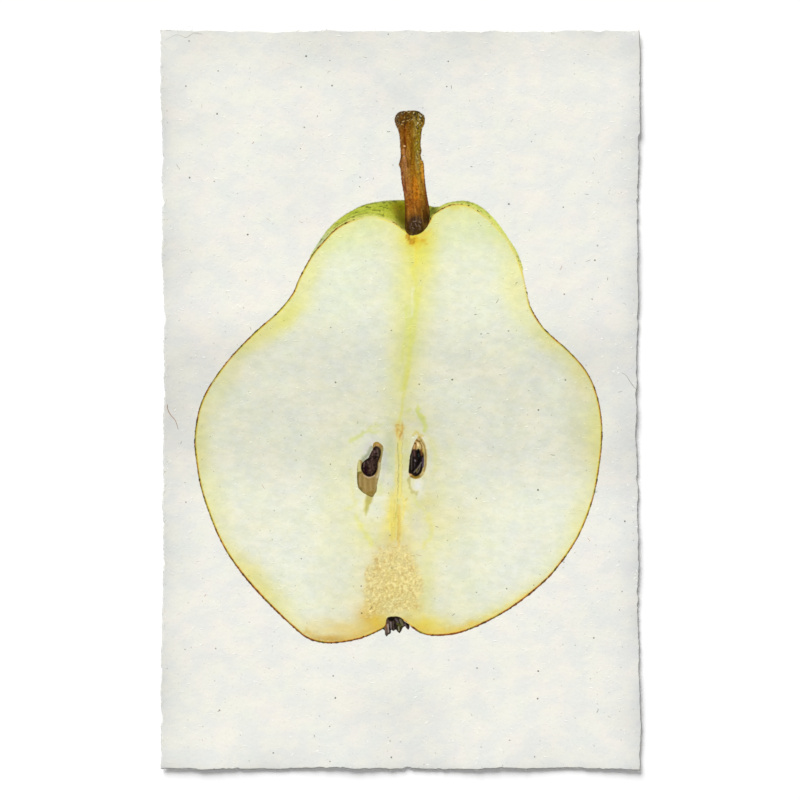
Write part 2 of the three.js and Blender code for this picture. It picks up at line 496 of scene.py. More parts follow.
# Soft patches of the cut flesh: centre, radii, colour, strength and turn. First those along the skin.
FLESH_DABS = (
    ((-120, 84), (30, 11), (230, 226, 124), 0.8, 42),
    ((-154, 60), (26, 9), (228, 220, 128), 0.5, 40),
    ((-92, 130), (10, 28), (236, 234, 150), 0.7, -28),
    ((-66, 168), (24, 9), (232, 228, 134), 0.6, 38),
    ((-184, 14), (12, 32), (226, 222, 150), 0.4, -28),
    ((-206, -45), (10, 42), (226, 219, 140), 0.4),
    ((-190, -100), (12, 38), (234, 232, 168), 0.35, 20),
    ((-148, -188), (9, 42), (230, 220, 124), 0.55, 40),
    ((116, 117), (14, 40), (237, 235, 158), 0.6, 10),
    ((98, 172), (24, 10), (226, 230, 146), 0.55, -48),
    ((150, 62), (24, 9), (228, 224, 136), 0.5, -42),
    ((184, 25), (9, 24), (226, 218, 134), 0.4, 38),
    ((200, -34), (9, 46), (228, 222, 140), 0.6),
    ((184, -26), (14, 44), (221, 218, 158), 0.4),
    ((184, -122), (11, 38), (236, 232, 156), 0.35, -22),
    ((66, 176), (46, 20), (222, 230, 168), 0.6),
    ((72, 146), (46, 26), (232, 237, 194), 0.35),
    ((-54, 168), (44, 22), (224, 231, 160), 0.6),
    ((-24, 181), (30, 9), (226, 230, 150), 0.6, -8),
    ((-50, 120), (34, 50), (232, 239, 212), 0.5),
    ((64, 110), (36, 40), (236, 240, 212), 0.4),
    ((30, 186), (18, 12), (224, 225, 140), 0.6, 45),
    ((60, 192), (38, 8), (222, 228, 150), 0.5),
    ((60, 202), (24, 5), (224, 218, 104), 0.8),
    # the yellow strand under the stem
    ((18, 150), (17, 31), (233, 228, 92), 0.85),
    ((16, 165), (18, 12), (232, 222, 84), 0.8),
    ((12, 112), (22, 40), (232, 230, 140), 0.6),
    ((8, 60), (17, 50), (228, 227, 136), 0.6),
    ((0, 20), (15, 40), (230, 229, 140), 0.5),
    ((15, 164.6), (9, 6), (220, 186, 40), 0.8),
    # round the core, and a few lower down
    ((0, -15), (34, 26), (228, 227, 184), 0.5),
    ((30, -56), (12, 28), (226, 223, 160), 0.4),
    ((14, -24), (13, 8), (224, 218, 150), 0.5),
    ((-62, -205), (26, 34), (222, 219, 178), 0.35),
    ((60, -205), (24, 34), (222, 221, 180), 0.3),
    ((-134, -196), (34, 14), (226, 222, 142), 0.35, -45),
    ((26, -108), (15, 17), (212, 204, 146), 0.75),
    ((6, -118), (7, 20), (230, 220, 134), 0.5),
    ((-28, -128), (12, 20), (222, 222, 178), 0.4),
    ((-62, -85), (22, 56), (232, 230, 178), 0.45, -12),
    ((48, -110), (26, 56), (230, 228, 180), 0.45, 12),
    ((-40, -135), (24, 26), (230, 228, 156), 0.5),
    ((36, -140), (24, 24), (232, 226, 164), 0.45),
    ((-1, -90), (14, 60), (232, 222, 136), 0.6),
    ((-8, -130), (13, 24), (238, 220, 110), 0.7),
    # the gritty flesh over the calyx, the glow beside it and along the rim, and the strand's brown top
    ((-8, -190), (29, 38), (226, 207, 134), 0.95),
    ((-6, -147), (22, 10), (217, 205, 146), 0.75),
    ((27, -190), (9, 34), (220, 222, 140), 0.45),
    ((-34, -224), (12, 12), (218, 174, 76), 0.75, 12),
    ((-24, -231), (13, 9), (223, 186, 56), 0.9, 12),
    ((-26, -216), (9, 8), (216, 186, 112), 0.6),
    ((-54, -238), (44, 10), (222, 198, 114), 0.7, -2),
    ((-74, -248.6), (22, 3.2), (164, 124, 58), 0.75),
    ((24, -234), (24, 11), (230, 206, 80), 0.85),
    ((62, -236), (40, 6), (218, 196, 106), 0.65, 12),
    ((100, -219), (50, 7), (230, 222, 150), 0.35, 30),
    ((16, -214), (10, 14), (222, 208, 122), 0.6),
    ((-2, -32), (5, 8), (214, 180, 92), 0.8),
    ((4, -227), (8, 5), (210, 190, 120), 0.5),
    # pale and cool patches
    ((-12, -50), (6, 26), (206, 213, 170), 0.75),
    ((-10, -78), (4, 20), (210, 220, 182), 0.7),
    ((5, -52), (4, 28), (218, 218, 150), 0.65),
    ((-22, -94), (4, 24), (214, 224, 194), 0.6),
    ((-15.6, -62), (3.4, 18), (212, 214, 202), 0.6),
    ((12, -26), (8, 5), (230, 226, 212), 0.7),
    ((16, -130), (8, 16), (224, 218, 196), 0.5),
    ((-26, -116), (7, 12), (234, 234, 218), 0.5),
)

# Finer marks on the flesh: path, width, colour, strength and softness.
FLESH_STROKES = (
    # the strand from the stem to the core
    (((12, 136), (15, 110), (10, 76), (8, 40), (2, 10)), 5, (226, 228, 104), 0.5, 5),
    (((20, 116), (16, 88), (13, 60)), 3.4, (226, 226, 110), 0.45, 3.5),
    (((13, 118), (12.6, 102), (11, 86)), 2, (246, 244, 226), 0.65, 2),
    (((6, 96), (5, 70), (1, 40)), 2.4, (222, 226, 120), 0.45, 3),
    (((8, 30), (3, 6), (-1, -22)), 3, (226, 222, 110), 0.5, 3),
    # marks under the stem's foot
    (((6, 169), (9, 166), (10.6, 163), (14, 162)), 2.6, (196, 144, 40), 0.8, 2),
    (((15, 167), (19.6, 165.6), (25, 165)), 2.6, (216, 174, 50), 0.75, 2.2),
    (((19, 162.6), (23, 160.6), (28, 161)), 1.6, (222, 186, 78), 0.6, 1.8),
    (((9.6, 163), (10, 158.6)), 1.6, (192, 132, 44), 0.7, 1.5),
    (((8.4, 168.4), (9.6, 166.4)), 1.3, (164, 112, 26), 0.8, 1),
    (((12.8, 164), (13.6, 162.6)), 1.2, (170, 116, 28), 0.75, 1),
    (((22, 164.4), (23.6, 163.6)), 1, (184, 140, 44), 0.6, 1),
    (((12.6, 158.6), (13, 156.8)), 1.1, (176, 126, 34), 0.7, 1),
    (((13, 158), (16, 156.4)), 1.4, (222, 176, 70), 0.6, 1.6),
    (((20, 168), (27, 171), (31, 177)), 2.4, (230, 202, 96), 0.6, 2),
    (((14, 160), (16, 148), (15, 138)), 2.2, (238, 220, 84), 0.5, 2.4),
    # the strand through the core, with its brown top
    (((-2.4, -22), (-1.8, -60), (-2, -104)), 3.5, (234, 226, 140), 0.65, 6),
    (((-5, -50), (-5.4, -74), (-5, -100)), 1, (240, 222, 124), 0.55, 2.4),
    (((-3, -44), (-3, -72), (-3.4, -104)), 0.9, (172, 164, 84), 0.7, 1),
    (((-0.8, -42), (-0.6, -74), (-1, -100)), 1.6, (246, 232, 116), 0.6, 1.6),
    (((1.2, -46), (1, -74), (0.8, -98)), 0.8, (208, 196, 112), 0.5, 1.2),
    (((-5.6, -27), (-4.4, -31), (-4.2, -38)), 1.2, (214, 172, 78), 0.5, 2),
    (((1.6, -25), (0.8, -32), (-1, -40)), 1.4, (218, 178, 80), 0.55, 2),
    (((-2.4, -22), (-2.2, -28)), 1.8, (240, 214, 126), 0.6, 2),
    (((-3.6, -31.6), (-2, -33)), 1.6, (240, 220, 140), 0.6, 1.6),
    (((-5, -26), (-1, -28.6), (2, -26.6)), 1, (192, 146, 68), 0.55, 1.1),
    (((-4.6, -33), (-1, -35.4), (2, -33)), 1, (196, 148, 74), 0.55, 1.1),
    (((2.6, -35), (1.6, -42)), 0.9, (206, 176, 104), 0.4, 1.8),
    # the veins under it
    (((-8, -98), (-9, -120), (-8, -142)), 5, (234, 218, 110), 0.55, 8),
    (((-11.4, -104), (-11, -120), (-12, -138)), 0.8, (242, 226, 110), 0.6, 1.6),
    (((-2.6, -112), (-1.8, -130), (-2.2, -150)), 2.6, (228, 194, 92), 0.6, 2.4),
    (((-3.4, -120), (-3, -144)), 0.8, (204, 164, 70), 0.5, 1.2),
    (((-4.4, -110), (-5, -122)), 0.8, (188, 178, 82), 0.5, 1.2),
    (((-9.6, -126), (-9, -146)), 0.8, (216, 190, 84), 0.5, 1.4),
    (((-6.6, -104), (-7, -126), (-6, -140)), 0.8, (224, 196, 84), 0.5, 1.4),
    (((1.6, -96), (3.6, -110), (2, -124)), 1.6, (244, 226, 120), 0.6, 1.6),
    (((4.8, -104), (7.4, -100)), 1.4, (214, 190, 90), 0.6, 1.2),
    (((0.6, -132), (1, -146)), 1, (242, 224, 130), 0.5, 1.4),
    # yellow-green threads round the core
    (((-52, -42), (-42, -36), (-31, -32), (-24, -33)), 3.6, (214, 222, 130), 0.6, 3),
    (((-34, -28), (-24, -26), (-16, -24)), 2.4, (222, 226, 146), 0.5, 2.4),
    (((6, -14), (10, -10)), 3, (216, 222, 120), 0.5, 3),
    (((17, -10), (21, -18), (25, -30)), 4, (212, 220, 110), 0.7, 3.4),
    (((28, -34), (34, -50), (36, -72)), 2.6, (226, 228, 164), 0.5, 3),
    (((-52, -70), (-50, -96), (-46, -112)), 3, (230, 226, 160), 0.5, 3.4),
    (((-46, -122), (-38, -136), (-30, -148)), 4.4, (228, 226, 122), 0.55, 4),
    (((14, -100), (22, -114), (32, -122)), 3, (228, 228, 140), 0.5, 3),
    (((28, -122), (32, -138), (24, -150)), 4, (230, 224, 128), 0.5, 4),
    (((-44, -104), (-52, -112), (-62, -116)), 2.4, (232, 230, 150), 0.4, 3),
    # the left seed's cell: its shadow, its pale lip, and the tail under it
    (((-31, -51), (-34.6, -57), (-39.4, -62.4)), 3.4, (138, 146, 118), 0.7, 3.4),
    (((-29, -42.6), (-33, -47), (-38, -54)), 4, (226, 222, 222), 0.6, 3.4),
    (((-47.4, -66), (-47.4, -80), (-46.8, -90)), 2, (240, 236, 200), 0.7, 1.6),
    (((-17.4, -56), (-17.6, -70), (-19, -84)), 3.4, (212, 214, 204), 0.7, 2.6),
    (((-32.4, -100), (-33.2, -104), (-34.4, -107)), 7, (190, 178, 100), 0.9, 2.2),
    (((-34, -106), (-35, -110), (-35.8, -113.4)), 4.4, (194, 186, 104), 0.9, 2),
    (((-35.4, -112), (-35.8, -115), (-35.8, -118.6)), 2.4, (200, 196, 116), 0.85, 1.6),
    # the glow inside the skin's lower edge
    (((-98, -241), (-80, -247), (-60, -246.6), (-40, -242), (-22, -234)), 4, (218, 184, 94), 0.65, 7),
    (((18, -236), (34, -241), (59, -237.6), (78, -231)), 3, (230, 198, 88), 0.6, 6),
    (((78, -231), (100, -220), (130, -199)), 1.5, (230, 212, 112), 0.5, 5),
    # pale lips beside the left cell's tail and over the calyx, and a warm one over the right cell
    (((-37.6, -103), (-38, -110), (-36.8, -117)), 1.8, (238, 230, 158), 0.6, 1.6),
    (((-14.4, -224), (-11, -222.9), (-4.6, -222.9)), 1, (246, 238, 176), 0.7, 1.4),
    (((12, -39), (16.6, -33.8), (22.6, -38)), 2.6, (226, 204, 104), 0.65, 2.4),
    # the empty end of the right seed's cell, and the cell's pale right side
    (((7.8, -82), (8.6, -89), (11.4, -95), (16, -97.4)), 2.8, (200, 192, 124), 0.85, 1.6),
    (((23.6, -82), (24.4, -88), (22, -94)), 1.8, (208, 216, 190), 0.5, 1.6),
    (((28.6, -50), (30, -64), (28.4, -80)), 3, (228, 226, 206), 0.6, 3),
)
VOID = ((17.4, -89), (3.8, 6.2), (234, 234, 228))  # a dab: the pale hollow in that end


def paint_flesh(x, y, depth):
    """The cut flesh: pale, yellow towards the skin, and yellow again along the core."""
    ragged = 0.9 * cloud(x, y, 5, 59) + 0.5 * cloud(x, y, 2, 60)
    flesh = Layer(x + ragged, y + 3 * ragged, (235.5, 237, 223))
    drift = 0.6 * cloud(x, y, 34, 51) + 0.4 * cloud(x, y, 14, 52)
    flesh.blend((236, 235, 206), np.clip(drift, 0, 1) * 0.5)
    flesh.blend((232, 235, 226), np.clip(-drift, 0, 1) * 0.5)
    uneven = 1 + 0.35 * cloud(x, y, 30, 53)
    inwards = np.maximum(depth, 0)
    flesh.blend((230, 229, 176), 0.5 * uneven * np.exp(-inwards / 16))
    flesh.blend((226, 220, 128), 0.5 * uneven * np.exp(-inwards / 4.5))
    flesh.paint(FLESH_DABS)
    blots = patch(x, y, (-8, -100), (52, 80))
    flesh.blend((226, 224, 156), 0.5 * blots * spots(x, y, 9, 54, 0.1, 0.8))
    flesh.blend((236, 234, 224), 0.45 * blots * spots(x, y, 8, 55, 0.1, 0.8))
    veins = patch(x, y, (-6, -124), (7, 20))
    flesh.blend((214, 202, 96), 0.5 * veins * spots(x, y / 3, 1.6, 50, 0.1, 0.6))
    grit = grit_share(x, y)
    flesh.blend((217, 198, 128), 0.6 * grit)
    flesh.blend((248, 234, 168), 0.85 * grit * spots(x, y, 2.3, 56, 0.15, 0.5))
    flesh.blend((196, 160, 92), 0.5 * grit * spots(x, y, 1.8, 57, 0.3, 0.65))
    flesh.paint(strokes=FLESH_STROKES)
    flesh.dab(*VOID)
    return flesh


def grit_share(x, y):
    """How gritty the flesh is: fully so in a patch over the calyx."""
    wobble = 5 * cloud(x, y, 8, 58) + 2 * cloud(x, y, 3, 61)
    side = 27 - 7 * fade(y, -188, -150) + 0.8 * wobble
    inside = 1 - fade(np.abs(x + 8.4), side - 5, side + 4)
    ends = fade(y - 0.1 * x + 0.6 * wobble, -223, -214) * (1 - fade(y + 1.4 * wobble, -166, -146))
    return inside * ends


# Soft patches on the skin, then the lines along it.
SKIN_DABS = (
    ((-84, 163), (13, 16), (186, 198, 156), 0.8, -40),
    ((-20, 205), (24, 2.2), (140, 148, 108), 0.75),
    ((-12, 200), (15, 4), (158, 172, 42), 0.6),
    ((0, 198), (11, 8), (122, 112, 2), 0.9),
    ((-4, 194), (3, 8), (142, 118, 40), 0.6, 20),
    ((3, 185), (8, 14), (82, 74, 6), 0.9, 25),
    ((-16, 192), (10, 6), (184, 188, 58), 0.5),
    ((33, 194), (6, 9), (100, 104, 30), 0.9, -20),
    ((64, 204.8), (12, 1.4), (130, 146, 66), 0.5),
    ((100, 182), (34, 12), (216, 224, 112), 0.85, -45),
)
SKIN_STROKES = (
    (((-76, 176), (-60, 189.5), (-42, 199.4), (-24, 203.6)), 1.6, (116, 130, 60), 0.7, 1.2),
    (((-70, 176.6), (-52, 188), (-34, 193)), 1, (96, 104, 34), 0.5, 0.9),
    (((-66, 181), (-50, 191.4), (-32, 197)), 1.4, (150, 172, 60), 0.6, 1.2),
    (((46, 201.8), (58, 204.1), (70, 203.7), (84, 197.2)), 1.2, (130, 150, 60), 0.45, 1),
)


def paint_skin(x, y, depth):
    """The green skin behind the shoulders, streaked along the cut. depth is that of the flesh."""
    out = -depth
    skin = Layer(x, y, (194, 202, 76))
    streak = cloud(x / 9, out / 1.3, 1, 63)
    skin.blend((212, 216, 108), np.clip(streak, 0, 1) * 0.9)
    skin.blend((160, 174, 48), np.clip(-streak, 0, 1) * 0.75)
    skin.blend((216, 218, 116), (1 - fade(out, 0.6, 5)) * 0.8)
    skin.paint(SKIN_DABS, SKIN_STROKES)
    dashes = fade(cloud(x / 3.4, out / 1.2, 1, 64), 0.35, 0.7)
    skin.blend((88, 94, 30), dashes * 0.75 * fade(out, 0.8, 2))
    return skin


# The stem's colours, from its left side to its right, at a few heights up the sheet.
STEM_SHADES = {
    176: ((62, 42, 8), (60, 42, 20), (56, 40, 24), (60, 44, 24), (62, 44, 12), (60, 44, 10)),
    186: ((68, 42, 8), (86, 54, 20), (62, 44, 32), (62, 44, 34), (64, 40, 12), (52, 34, 8)),
    192: ((104, 62, 8), (150, 94, 28), (134, 84, 30), (118, 74, 20), (94, 58, 12), (64, 40, 8)),
    202: ((106, 56, 8), (154, 90, 26), (156, 90, 24), (136, 80, 20), (110, 68, 14), (78, 42, 12)),
    216: ((142, 84, 54), (148, 86, 34), (168, 106, 34), (190, 120, 28), (168, 122, 34), (126, 76, 26)),
    236: ((114, 58, 30), (168, 120, 62), (152, 106, 36), (160, 108, 20), (168, 134, 44), (176, 110, 20)),
    254: ((112, 58, 10), (160, 108, 50), (148, 98, 22), (144, 98, 16), (140, 118, 36), (150, 116, 34)),
    274: ((136, 88, 46), (130, 76, 12), (138, 84, 14), (122, 82, 8), (140, 112, 24), (138, 112, 22)),
    284: ((110, 86, 64), (114, 70, 14), (118, 74, 8), (120, 84, 10), (124, 100, 24), (140, 104, 24)),
    296: ((84, 70, 54), (92, 58, 14), (90, 60, 10), (88, 66, 12), (92, 76, 18), (76, 62, 18)),
}
# The stem's left and right sides at a few heights.
STEM_SIDES = (
    (170, 8, 20), (180, 4, 28), (200, 4, 29), (222, 1, 25.4), (240, -1, 24), (262, -1, 20.4), (280, -4, 22),
    (290, -6.6, 24.8), (298, 0, 18),
)  # fmt: skip
# Marks on the stem: path, width, colour, strength and softness.
STEM_STROKES = (
    (((4.5, 284), (3.6, 274), (4.4, 263)), 2.2, (96, 40, 2), 0.85, 1.4),
    (((5.2, 262), (4.2, 254), (6.6, 247), (7.4, 240)), 1.6, (92, 48, 8), 0.8, 1.2),
    (((3, 258), (3.6, 248), (5, 238)), 2.2, (186, 124, 92), 0.6, 1.8),
    (((8.4, 256), (9, 246), (8.4, 236)), 1.8, (178, 120, 60), 0.6, 1.6),
    (((3.2, 261.6), (3.9, 261.4)), 1.7, (248, 206, 156), 0.95, 1.0),
    (((10.2, 284), (10.6, 262), (10, 244)), 2.2, (104, 66, 6), 0.6, 1.6),
    (((18.6, 282), (18, 266), (17, 256)), 2.6, (112, 102, 8), 0.6, 1.8),
    (((13.6, 291), (15, 282), (14.2, 272)), 3.2, (176, 160, 96), 0.5, 2.4),
    (((17.2, 254), (16, 248), (17, 238)), 3.2, (160, 138, 84), 0.5, 2.2),
    (((21.4, 246), (22, 238), (22.6, 226)), 2.4, (202, 132, 30), 0.7, 1.8),
    (((14.4, 226), (15.4, 218), (15.6, 209)), 5, (182, 106, 14), 0.75, 3),
    (((12.4, 230), (12.4, 218), (12.2, 210)), 1.4, (150, 80, 10), 0.7, 1.2),
    (((20.2, 232), (20.6, 218), (21.4, 206)), 2, (150, 100, 24), 0.6, 1.6),
    (((2, 236), (3.4, 224), (5.8, 212)), 1.6, (104, 44, 34), 0.7, 1.2),
    (((24.4, 226), (25.8, 212), (27.6, 200)), 1.6, (96, 40, 34), 0.6, 1.2),
    (((9, 200), (10, 196)), 1.4, (196, 112, 44), 0.5, 1.2),
    (((22, 198), (24, 192), (23, 188)), 2.4, (70, 40, 8), 0.5, 2.2),
    (((8.4, 183), (13, 187.4), (18, 187.4), (23, 183)), 1.8, (48, 34, 34), 0.6, 1.6),
    (((10.4, 179.4), (10.8, 181.6)), 0.9, (132, 114, 112), 0.7, 0.8),
    (((12.4, 183.6), (15.4, 184)), 1, (152, 136, 134), 0.75, 0.8),
    (((14.8, 181.4), (16.4, 178.6)), 1, (148, 132, 128), 0.7, 0.8),
    (((18.6, 184), (20.4, 182.2)), 0.9, (150, 132, 128), 0.7, 0.8),
    (((18.4, 180), (20, 177.8), (19.6, 176)), 0.9, (136, 118, 112), 0.65, 0.8),
    (((11.4, 177.4), (13.6, 176.4)), 0.9, (126, 106, 98), 0.65, 0.8),
    (((9, 179), (10.2, 176), (13, 173.6)), 0.8, (110, 90, 80), 0.6, 0.8),
    (((18, 175.4), (20.6, 175)), 0.8, (112, 92, 82), 0.5, 0.8),
)


def paint_stem(body, depth):
    """The stem: bands of brown from side to side, which change along it, then streaks and spots."""
    x, y = body.x, body.y
    heights, lefts, rights = np.array(STEM_SIDES).T
    left, right = np.interp(y, heights, lefts), np.interp(y, heights, rights)
    across = np.clip((x - left) / (right - left), 0, 1) * 5
    across = across + 0.4 * cloud(x, y / 6, 3, 62)
    levels = sorted(STEM_SHADES)
    at = np.clip(np.searchsorted(levels, y) - 1, 0, len(levels) - 2)
    t = np.clip((y - np.take(levels, at)) / np.take(np.diff(levels), at), 0, 1)
    stem, points = y > STEM_FLOOR, np.arange(len(y))
    for channel in range(3):
        shades = [[shade[channel] for shade in STEM_SHADES[level]] for level in levels]
        rows = np.array([np.interp(across, range(6), row) for row in shades])
        colour = rows[at, points] * (1 - t) + rows[at + 1, points] * t
        body.rgb[stem, channel] = colour[stem]
    body.paint(strokes=STEM_STROKES)
    streak = cloud(x + 0.1 * y, y / 5, 1.6, 65)
    body.blend((92, 58, 10), stem * np.clip(streak, 0, 1) * 0.3)
    body.blend((196, 152, 64), stem * np.clip(-streak, 0, 1) * 0.35)
    # specks in the bark, all but at the foot, and a darker outline
    bark = fade(y, 190, 200) * (1 - fade(y, 286, 292) * 0.4)
    body.blend((88, 50, 14), stem * bark * 0.45 * spots(x, y, 1.4, 66))
    body.blend((206, 168, 92), stem * bark * 0.3 * spots(x, y / 2.4, 1.1, 70, 0.45, 0.75))
    body.blend((84, 50, 28), stem * 0.4 * (1 - fade(depth, 0.3, 1.5)))
    # light and dark crumbs on the head, the upper right side and the lower left one
    head = fade(y, 277, 286)
    rough = 0.75 * head + 0.55 * fade(across, 3.2, 4.4) * fade(y, 232, 250)
    rough = rough + 0.4 * (1 - fade(across, 0.3, 0.9)) * fade(y, 205, 215)
    body.blend((222, 208, 160), stem * np.clip(rough, 0, 1) * 0.9 * spots(x, y, 1.35, 67, 0.42, 0.66))
    body.blend((44, 36, 26), stem * np.clip(rough, 0, 1) * 0.8 * spots(x, y, 1.5, 68, 0.25, 0.6))


# Marks on the seeds, their cells and the calyx: path, width, colour, strength and softness.
LEFT_CELL_STROKES = (
    # the brown hollow under the seed, in upright streaks
    (((-44.6, -77), (-44.6, -86), (-41, -93.4)), 2.4, (112, 98, 40), 0.85, 1.6),
    (((-42.6, -80), (-42.4, -90)), 1.2, (190, 162, 112), 0.6, 1.8),
    (((-40, -79), (-39.6, -92)), 1.4, (142, 118, 64), 0.6, 1.8),
    (((-37.6, -83), (-36.6, -92)), 1.6, (180, 152, 98), 0.6, 2.2),
    (((-34.4, -82), (-33.4, -95)), 1.6, (144, 120, 66), 0.55, 2.2),
    (((-31.6, -84), (-31, -94)), 1, (176, 150, 92), 0.5, 1.8),
    (((-28.4, -82), (-28.6, -94)), 2, (142, 118, 66), 0.6, 2.2),
    (((-25.4, -80), (-25.6, -93)), 1.2, (172, 158, 110), 0.7, 1.4),
    (((-34, -97), (-29, -96)), 3.4, (138, 116, 48), 0.8, 2.6),
    (((-41.4, -94.4), (-36, -98.6), (-29.4, -100.6)), 1.8, (92, 78, 28), 0.85, 1.3),
    (((-29, -99.6), (-26, -95.6), (-25, -90)), 1.2, (116, 100, 52), 0.75, 1.2),
    (((-38, -78.6), (-33, -80.6), (-27.4, -78.4)), 1.6, (196, 170, 140), 0.85, 1.2),
    # the cell's walls beside the seed
    (((-43.6, -64), (-43, -73.6)), 3.4, (206, 200, 132), 1, 1.6),
    (((-45.2, -63), (-45.4, -75)), 1.4, (146, 138, 78), 0.8, 1),
    (((-44.6, -75.6), (-41.6, -75.4)), 2.2, (120, 108, 44), 0.8, 1.4),
    (((-28, -46), (-25, -44.6), (-22, -46)), 3, (174, 142, 62), 1, 1.4),
    (((-25, -46.6), (-23, -47)), 2, (206, 160, 104), 0.8, 1.4),
    (((-20, -47), (-18.8, -50)), 2, (162, 130, 70), 0.9, 1.4),
    (((-19, -50), (-19.4, -60), (-21.4, -72)), 2.4, (160, 156, 98), 0.9, 1.2),
    (((-21.8, -66), (-22.6, -75), (-24.6, -80)), 2.4, (194, 184, 146), 0.85, 1.4),
)
LEFT_SEED_STROKES = (
    (((-28, -51), (-29, -60), (-31, -70)), 5, (72, 54, 46), 0.7, 5),
    (((-32.6, -55), (-35, -60.6), (-40, -66)), 1.6, (24, 18, 14), 0.9, 1.4),
    (((-40.6, -67), (-40.4, -74), (-36, -78.6), (-30, -78.8), (-25.4, -74)), 3, (16, 8, 4), 0.95, 2.2),
    (((-24.8, -72), (-24.4, -66), (-22, -58)), 1.4, (26, 18, 10), 0.8, 1.4),
    (((-31, -52), (-29, -49.6), (-25, -49.4)), 1.2, (30, 22, 16), 0.8, 1.2),
    (((-37, -70), (-36, -76)), 3, (30, 6, 20), 0.8, 2.4),
    (((-38.4, -70), (-38, -66), (-35.6, -64)), 1.1, (122, 102, 100), 0.8, 1.0),
    (((-34.6, -64.4), (-33.4, -66)), 1.2, (112, 92, 90), 0.7, 1),
    (((-32.6, -68), (-31.6, -73)), 1.3, (98, 76, 62), 0.8, 1),
    (((-29.4, -66), (-29, -72)), 1.2, (92, 70, 58), 0.7, 1),
    (((-26.6, -68), (-27, -73)), 1, (76, 56, 40), 0.7, 1),
    (((-29.6, -56), (-30, -62)), 1.4, (104, 84, 78), 0.6, 1.2),
    (((-28, -51.6), (-27, -55)), 1.6, (122, 98, 104), 0.7, 1.4),
    (((-24.4, -51.6), (-23.8, -58)), 1.8, (112, 98, 88), 0.7, 1.5),
    (((-22, -51), (-21.8, -57), (-23, -63)), 1.5, (48, 46, 16), 0.85, 1.2),
    (((-26.6, -60), (-26, -66)), 1.4, (44, 30, 22), 0.7, 1.2),
    (((-32.4, -60.6), (-34, -64)), 1.2, (62, 48, 46), 0.6, 1),
    (((-30.6, -75), (-30.4, -78)), 1, (84, 66, 48), 0.6, 1),
)
RIGHT_SEED_STROKES = (
    # the cell's walls
    (
        ((17.4, -38.4), (22.6, -43), (26, -51), (27.2, -59), (26.6, -69), (24, -77)),
        1.1, (222, 206, 148), 0.8, 1.4,
    ),  # fmt: skip
    (((20.4, -42), (24, -47.6), (25.4, -56), (25.4, -66), (23.6, -74)), 1, (142, 116, 54), 0.85, 0.9),
    (((18, -39), (21.6, -42)), 0.9, (150, 120, 50), 0.7, 0.9),
    (((26.6, -66), (26, -71), (24, -77)), 0.9, (160, 146, 96), 0.7, 0.9),
    (((15.4, -40), (12.6, -46), (10.8, -53), (9.4, -60)), 1.5, (128, 104, 46), 0.85, 1.1),
    (((16.4, -38.6), (18.8, -38.2)), 2, (206, 184, 92), 0.9, 1.3),
    # the seed's brown tip
    (((16, -43), (14.4, -48), (13.4, -53)), 4.4, (196, 156, 98), 0.9, 2),
    (((14, -45), (15.6, -45.8)), 1.8, (96, 70, 18), 0.9, 1.1),
    (((16, -41.6), (17.4, -42.6), (19.4, -43.4)), 1.5, (112, 86, 28), 0.85, 1.1),
    (((17, -45.2), (17.8, -47.4)), 1.9, (255, 230, 170), 1, 1.1),
    (((20.4, -45), (22, -49), (23, -54)), 2, (204, 178, 120), 0.85, 1.4),
    (((22.4, -52), (23, -56.6)), 1.9, (206, 186, 84), 0.95, 1.2),
    # its dark coat
    (((17, -58.6), (16.4, -66), (13.4, -74)), 13.4, (34, 24, 20), 1, 2.6),
    (((13.4, -53.6), (13, -60)), 4.6, (38, 27, 24), 1, 2),
    (((18.4, -55), (19, -62)), 3.4, (30, 21, 18), 1, 1.8),
    (((18.6, -43), (21, -47), (21.8, -52)), 1, (122, 88, 34), 0.8, 0.9),
    (((15.4, -47.6), (15.2, -51.4)), 1, (120, 82, 32), 0.75, 0.9),
    (((12.8, -47), (11.2, -52)), 1, (96, 74, 34), 0.75, 0.9),
    (((20.8, -52), (21.4, -57)), 2, (126, 82, 42), 0.85, 1.6),
    (((9.8, -56), (9.2, -66), (9.2, -75)), 2.2, (30, 26, 12), 0.95, 1.3),
    (((11.6, -56), (11, -64), (11, -72)), 1, (92, 84, 76), 0.8, 0.9),
    (((13.6, -53), (14, -58)), 1.8, (110, 78, 72), 0.8, 1.4),
    (((12.6, -60), (12.4, -70)), 1, (22, 16, 14), 0.8, 1),
    (((14.4, -62.6), (14.8, -63.6)), 1.5, (126, 120, 124), 0.9, 1.1),
    (((14, -66), (14.4, -72)), 1, (84, 76, 84), 0.7, 1),
    (((18, -52), (17.6, -57), (19, -62), (17, -67)), 2.2, (12, 10, 10), 0.9, 1.6),
    (((18.2, -56.4), (18.4, -59)), 1.5, (44, 64, 60), 0.8, 1.2),
    (((22.8, -61), (22.8, -69)), 2, (86, 72, 92), 0.85, 1.4),
    (((21, -65), (18, -70), (13.6, -75)), 1.2, (124, 116, 106), 0.9, 0.9),
    (((20, -68), (18.6, -73), (16.6, -76)), 1, (116, 106, 92), 0.85, 0.8),
    (((16.6, -72), (16.2, -74.4)), 1.4, (124, 114, 56), 0.85, 1),
    (((21.6, -70), (20, -75), (16, -78)), 1.8, (16, 10, 6), 0.9, 1.2),
    (((15.4, -69), (12, -74)), 1.2, (14, 10, 10), 0.85, 1),
    # its foot
    (((8.6, -77.4), (10.6, -78.2)), 2.4, (226, 180, 120), 1, 1.3),
    (((11.4, -79), (15, -80.6), (19.4, -79.4)), 2.4, (148, 118, 38), 0.95, 1.3),
    (((21.6, -77.4), (19.6, -80.6)), 1.4, (176, 164, 112), 0.8, 1.1),
)
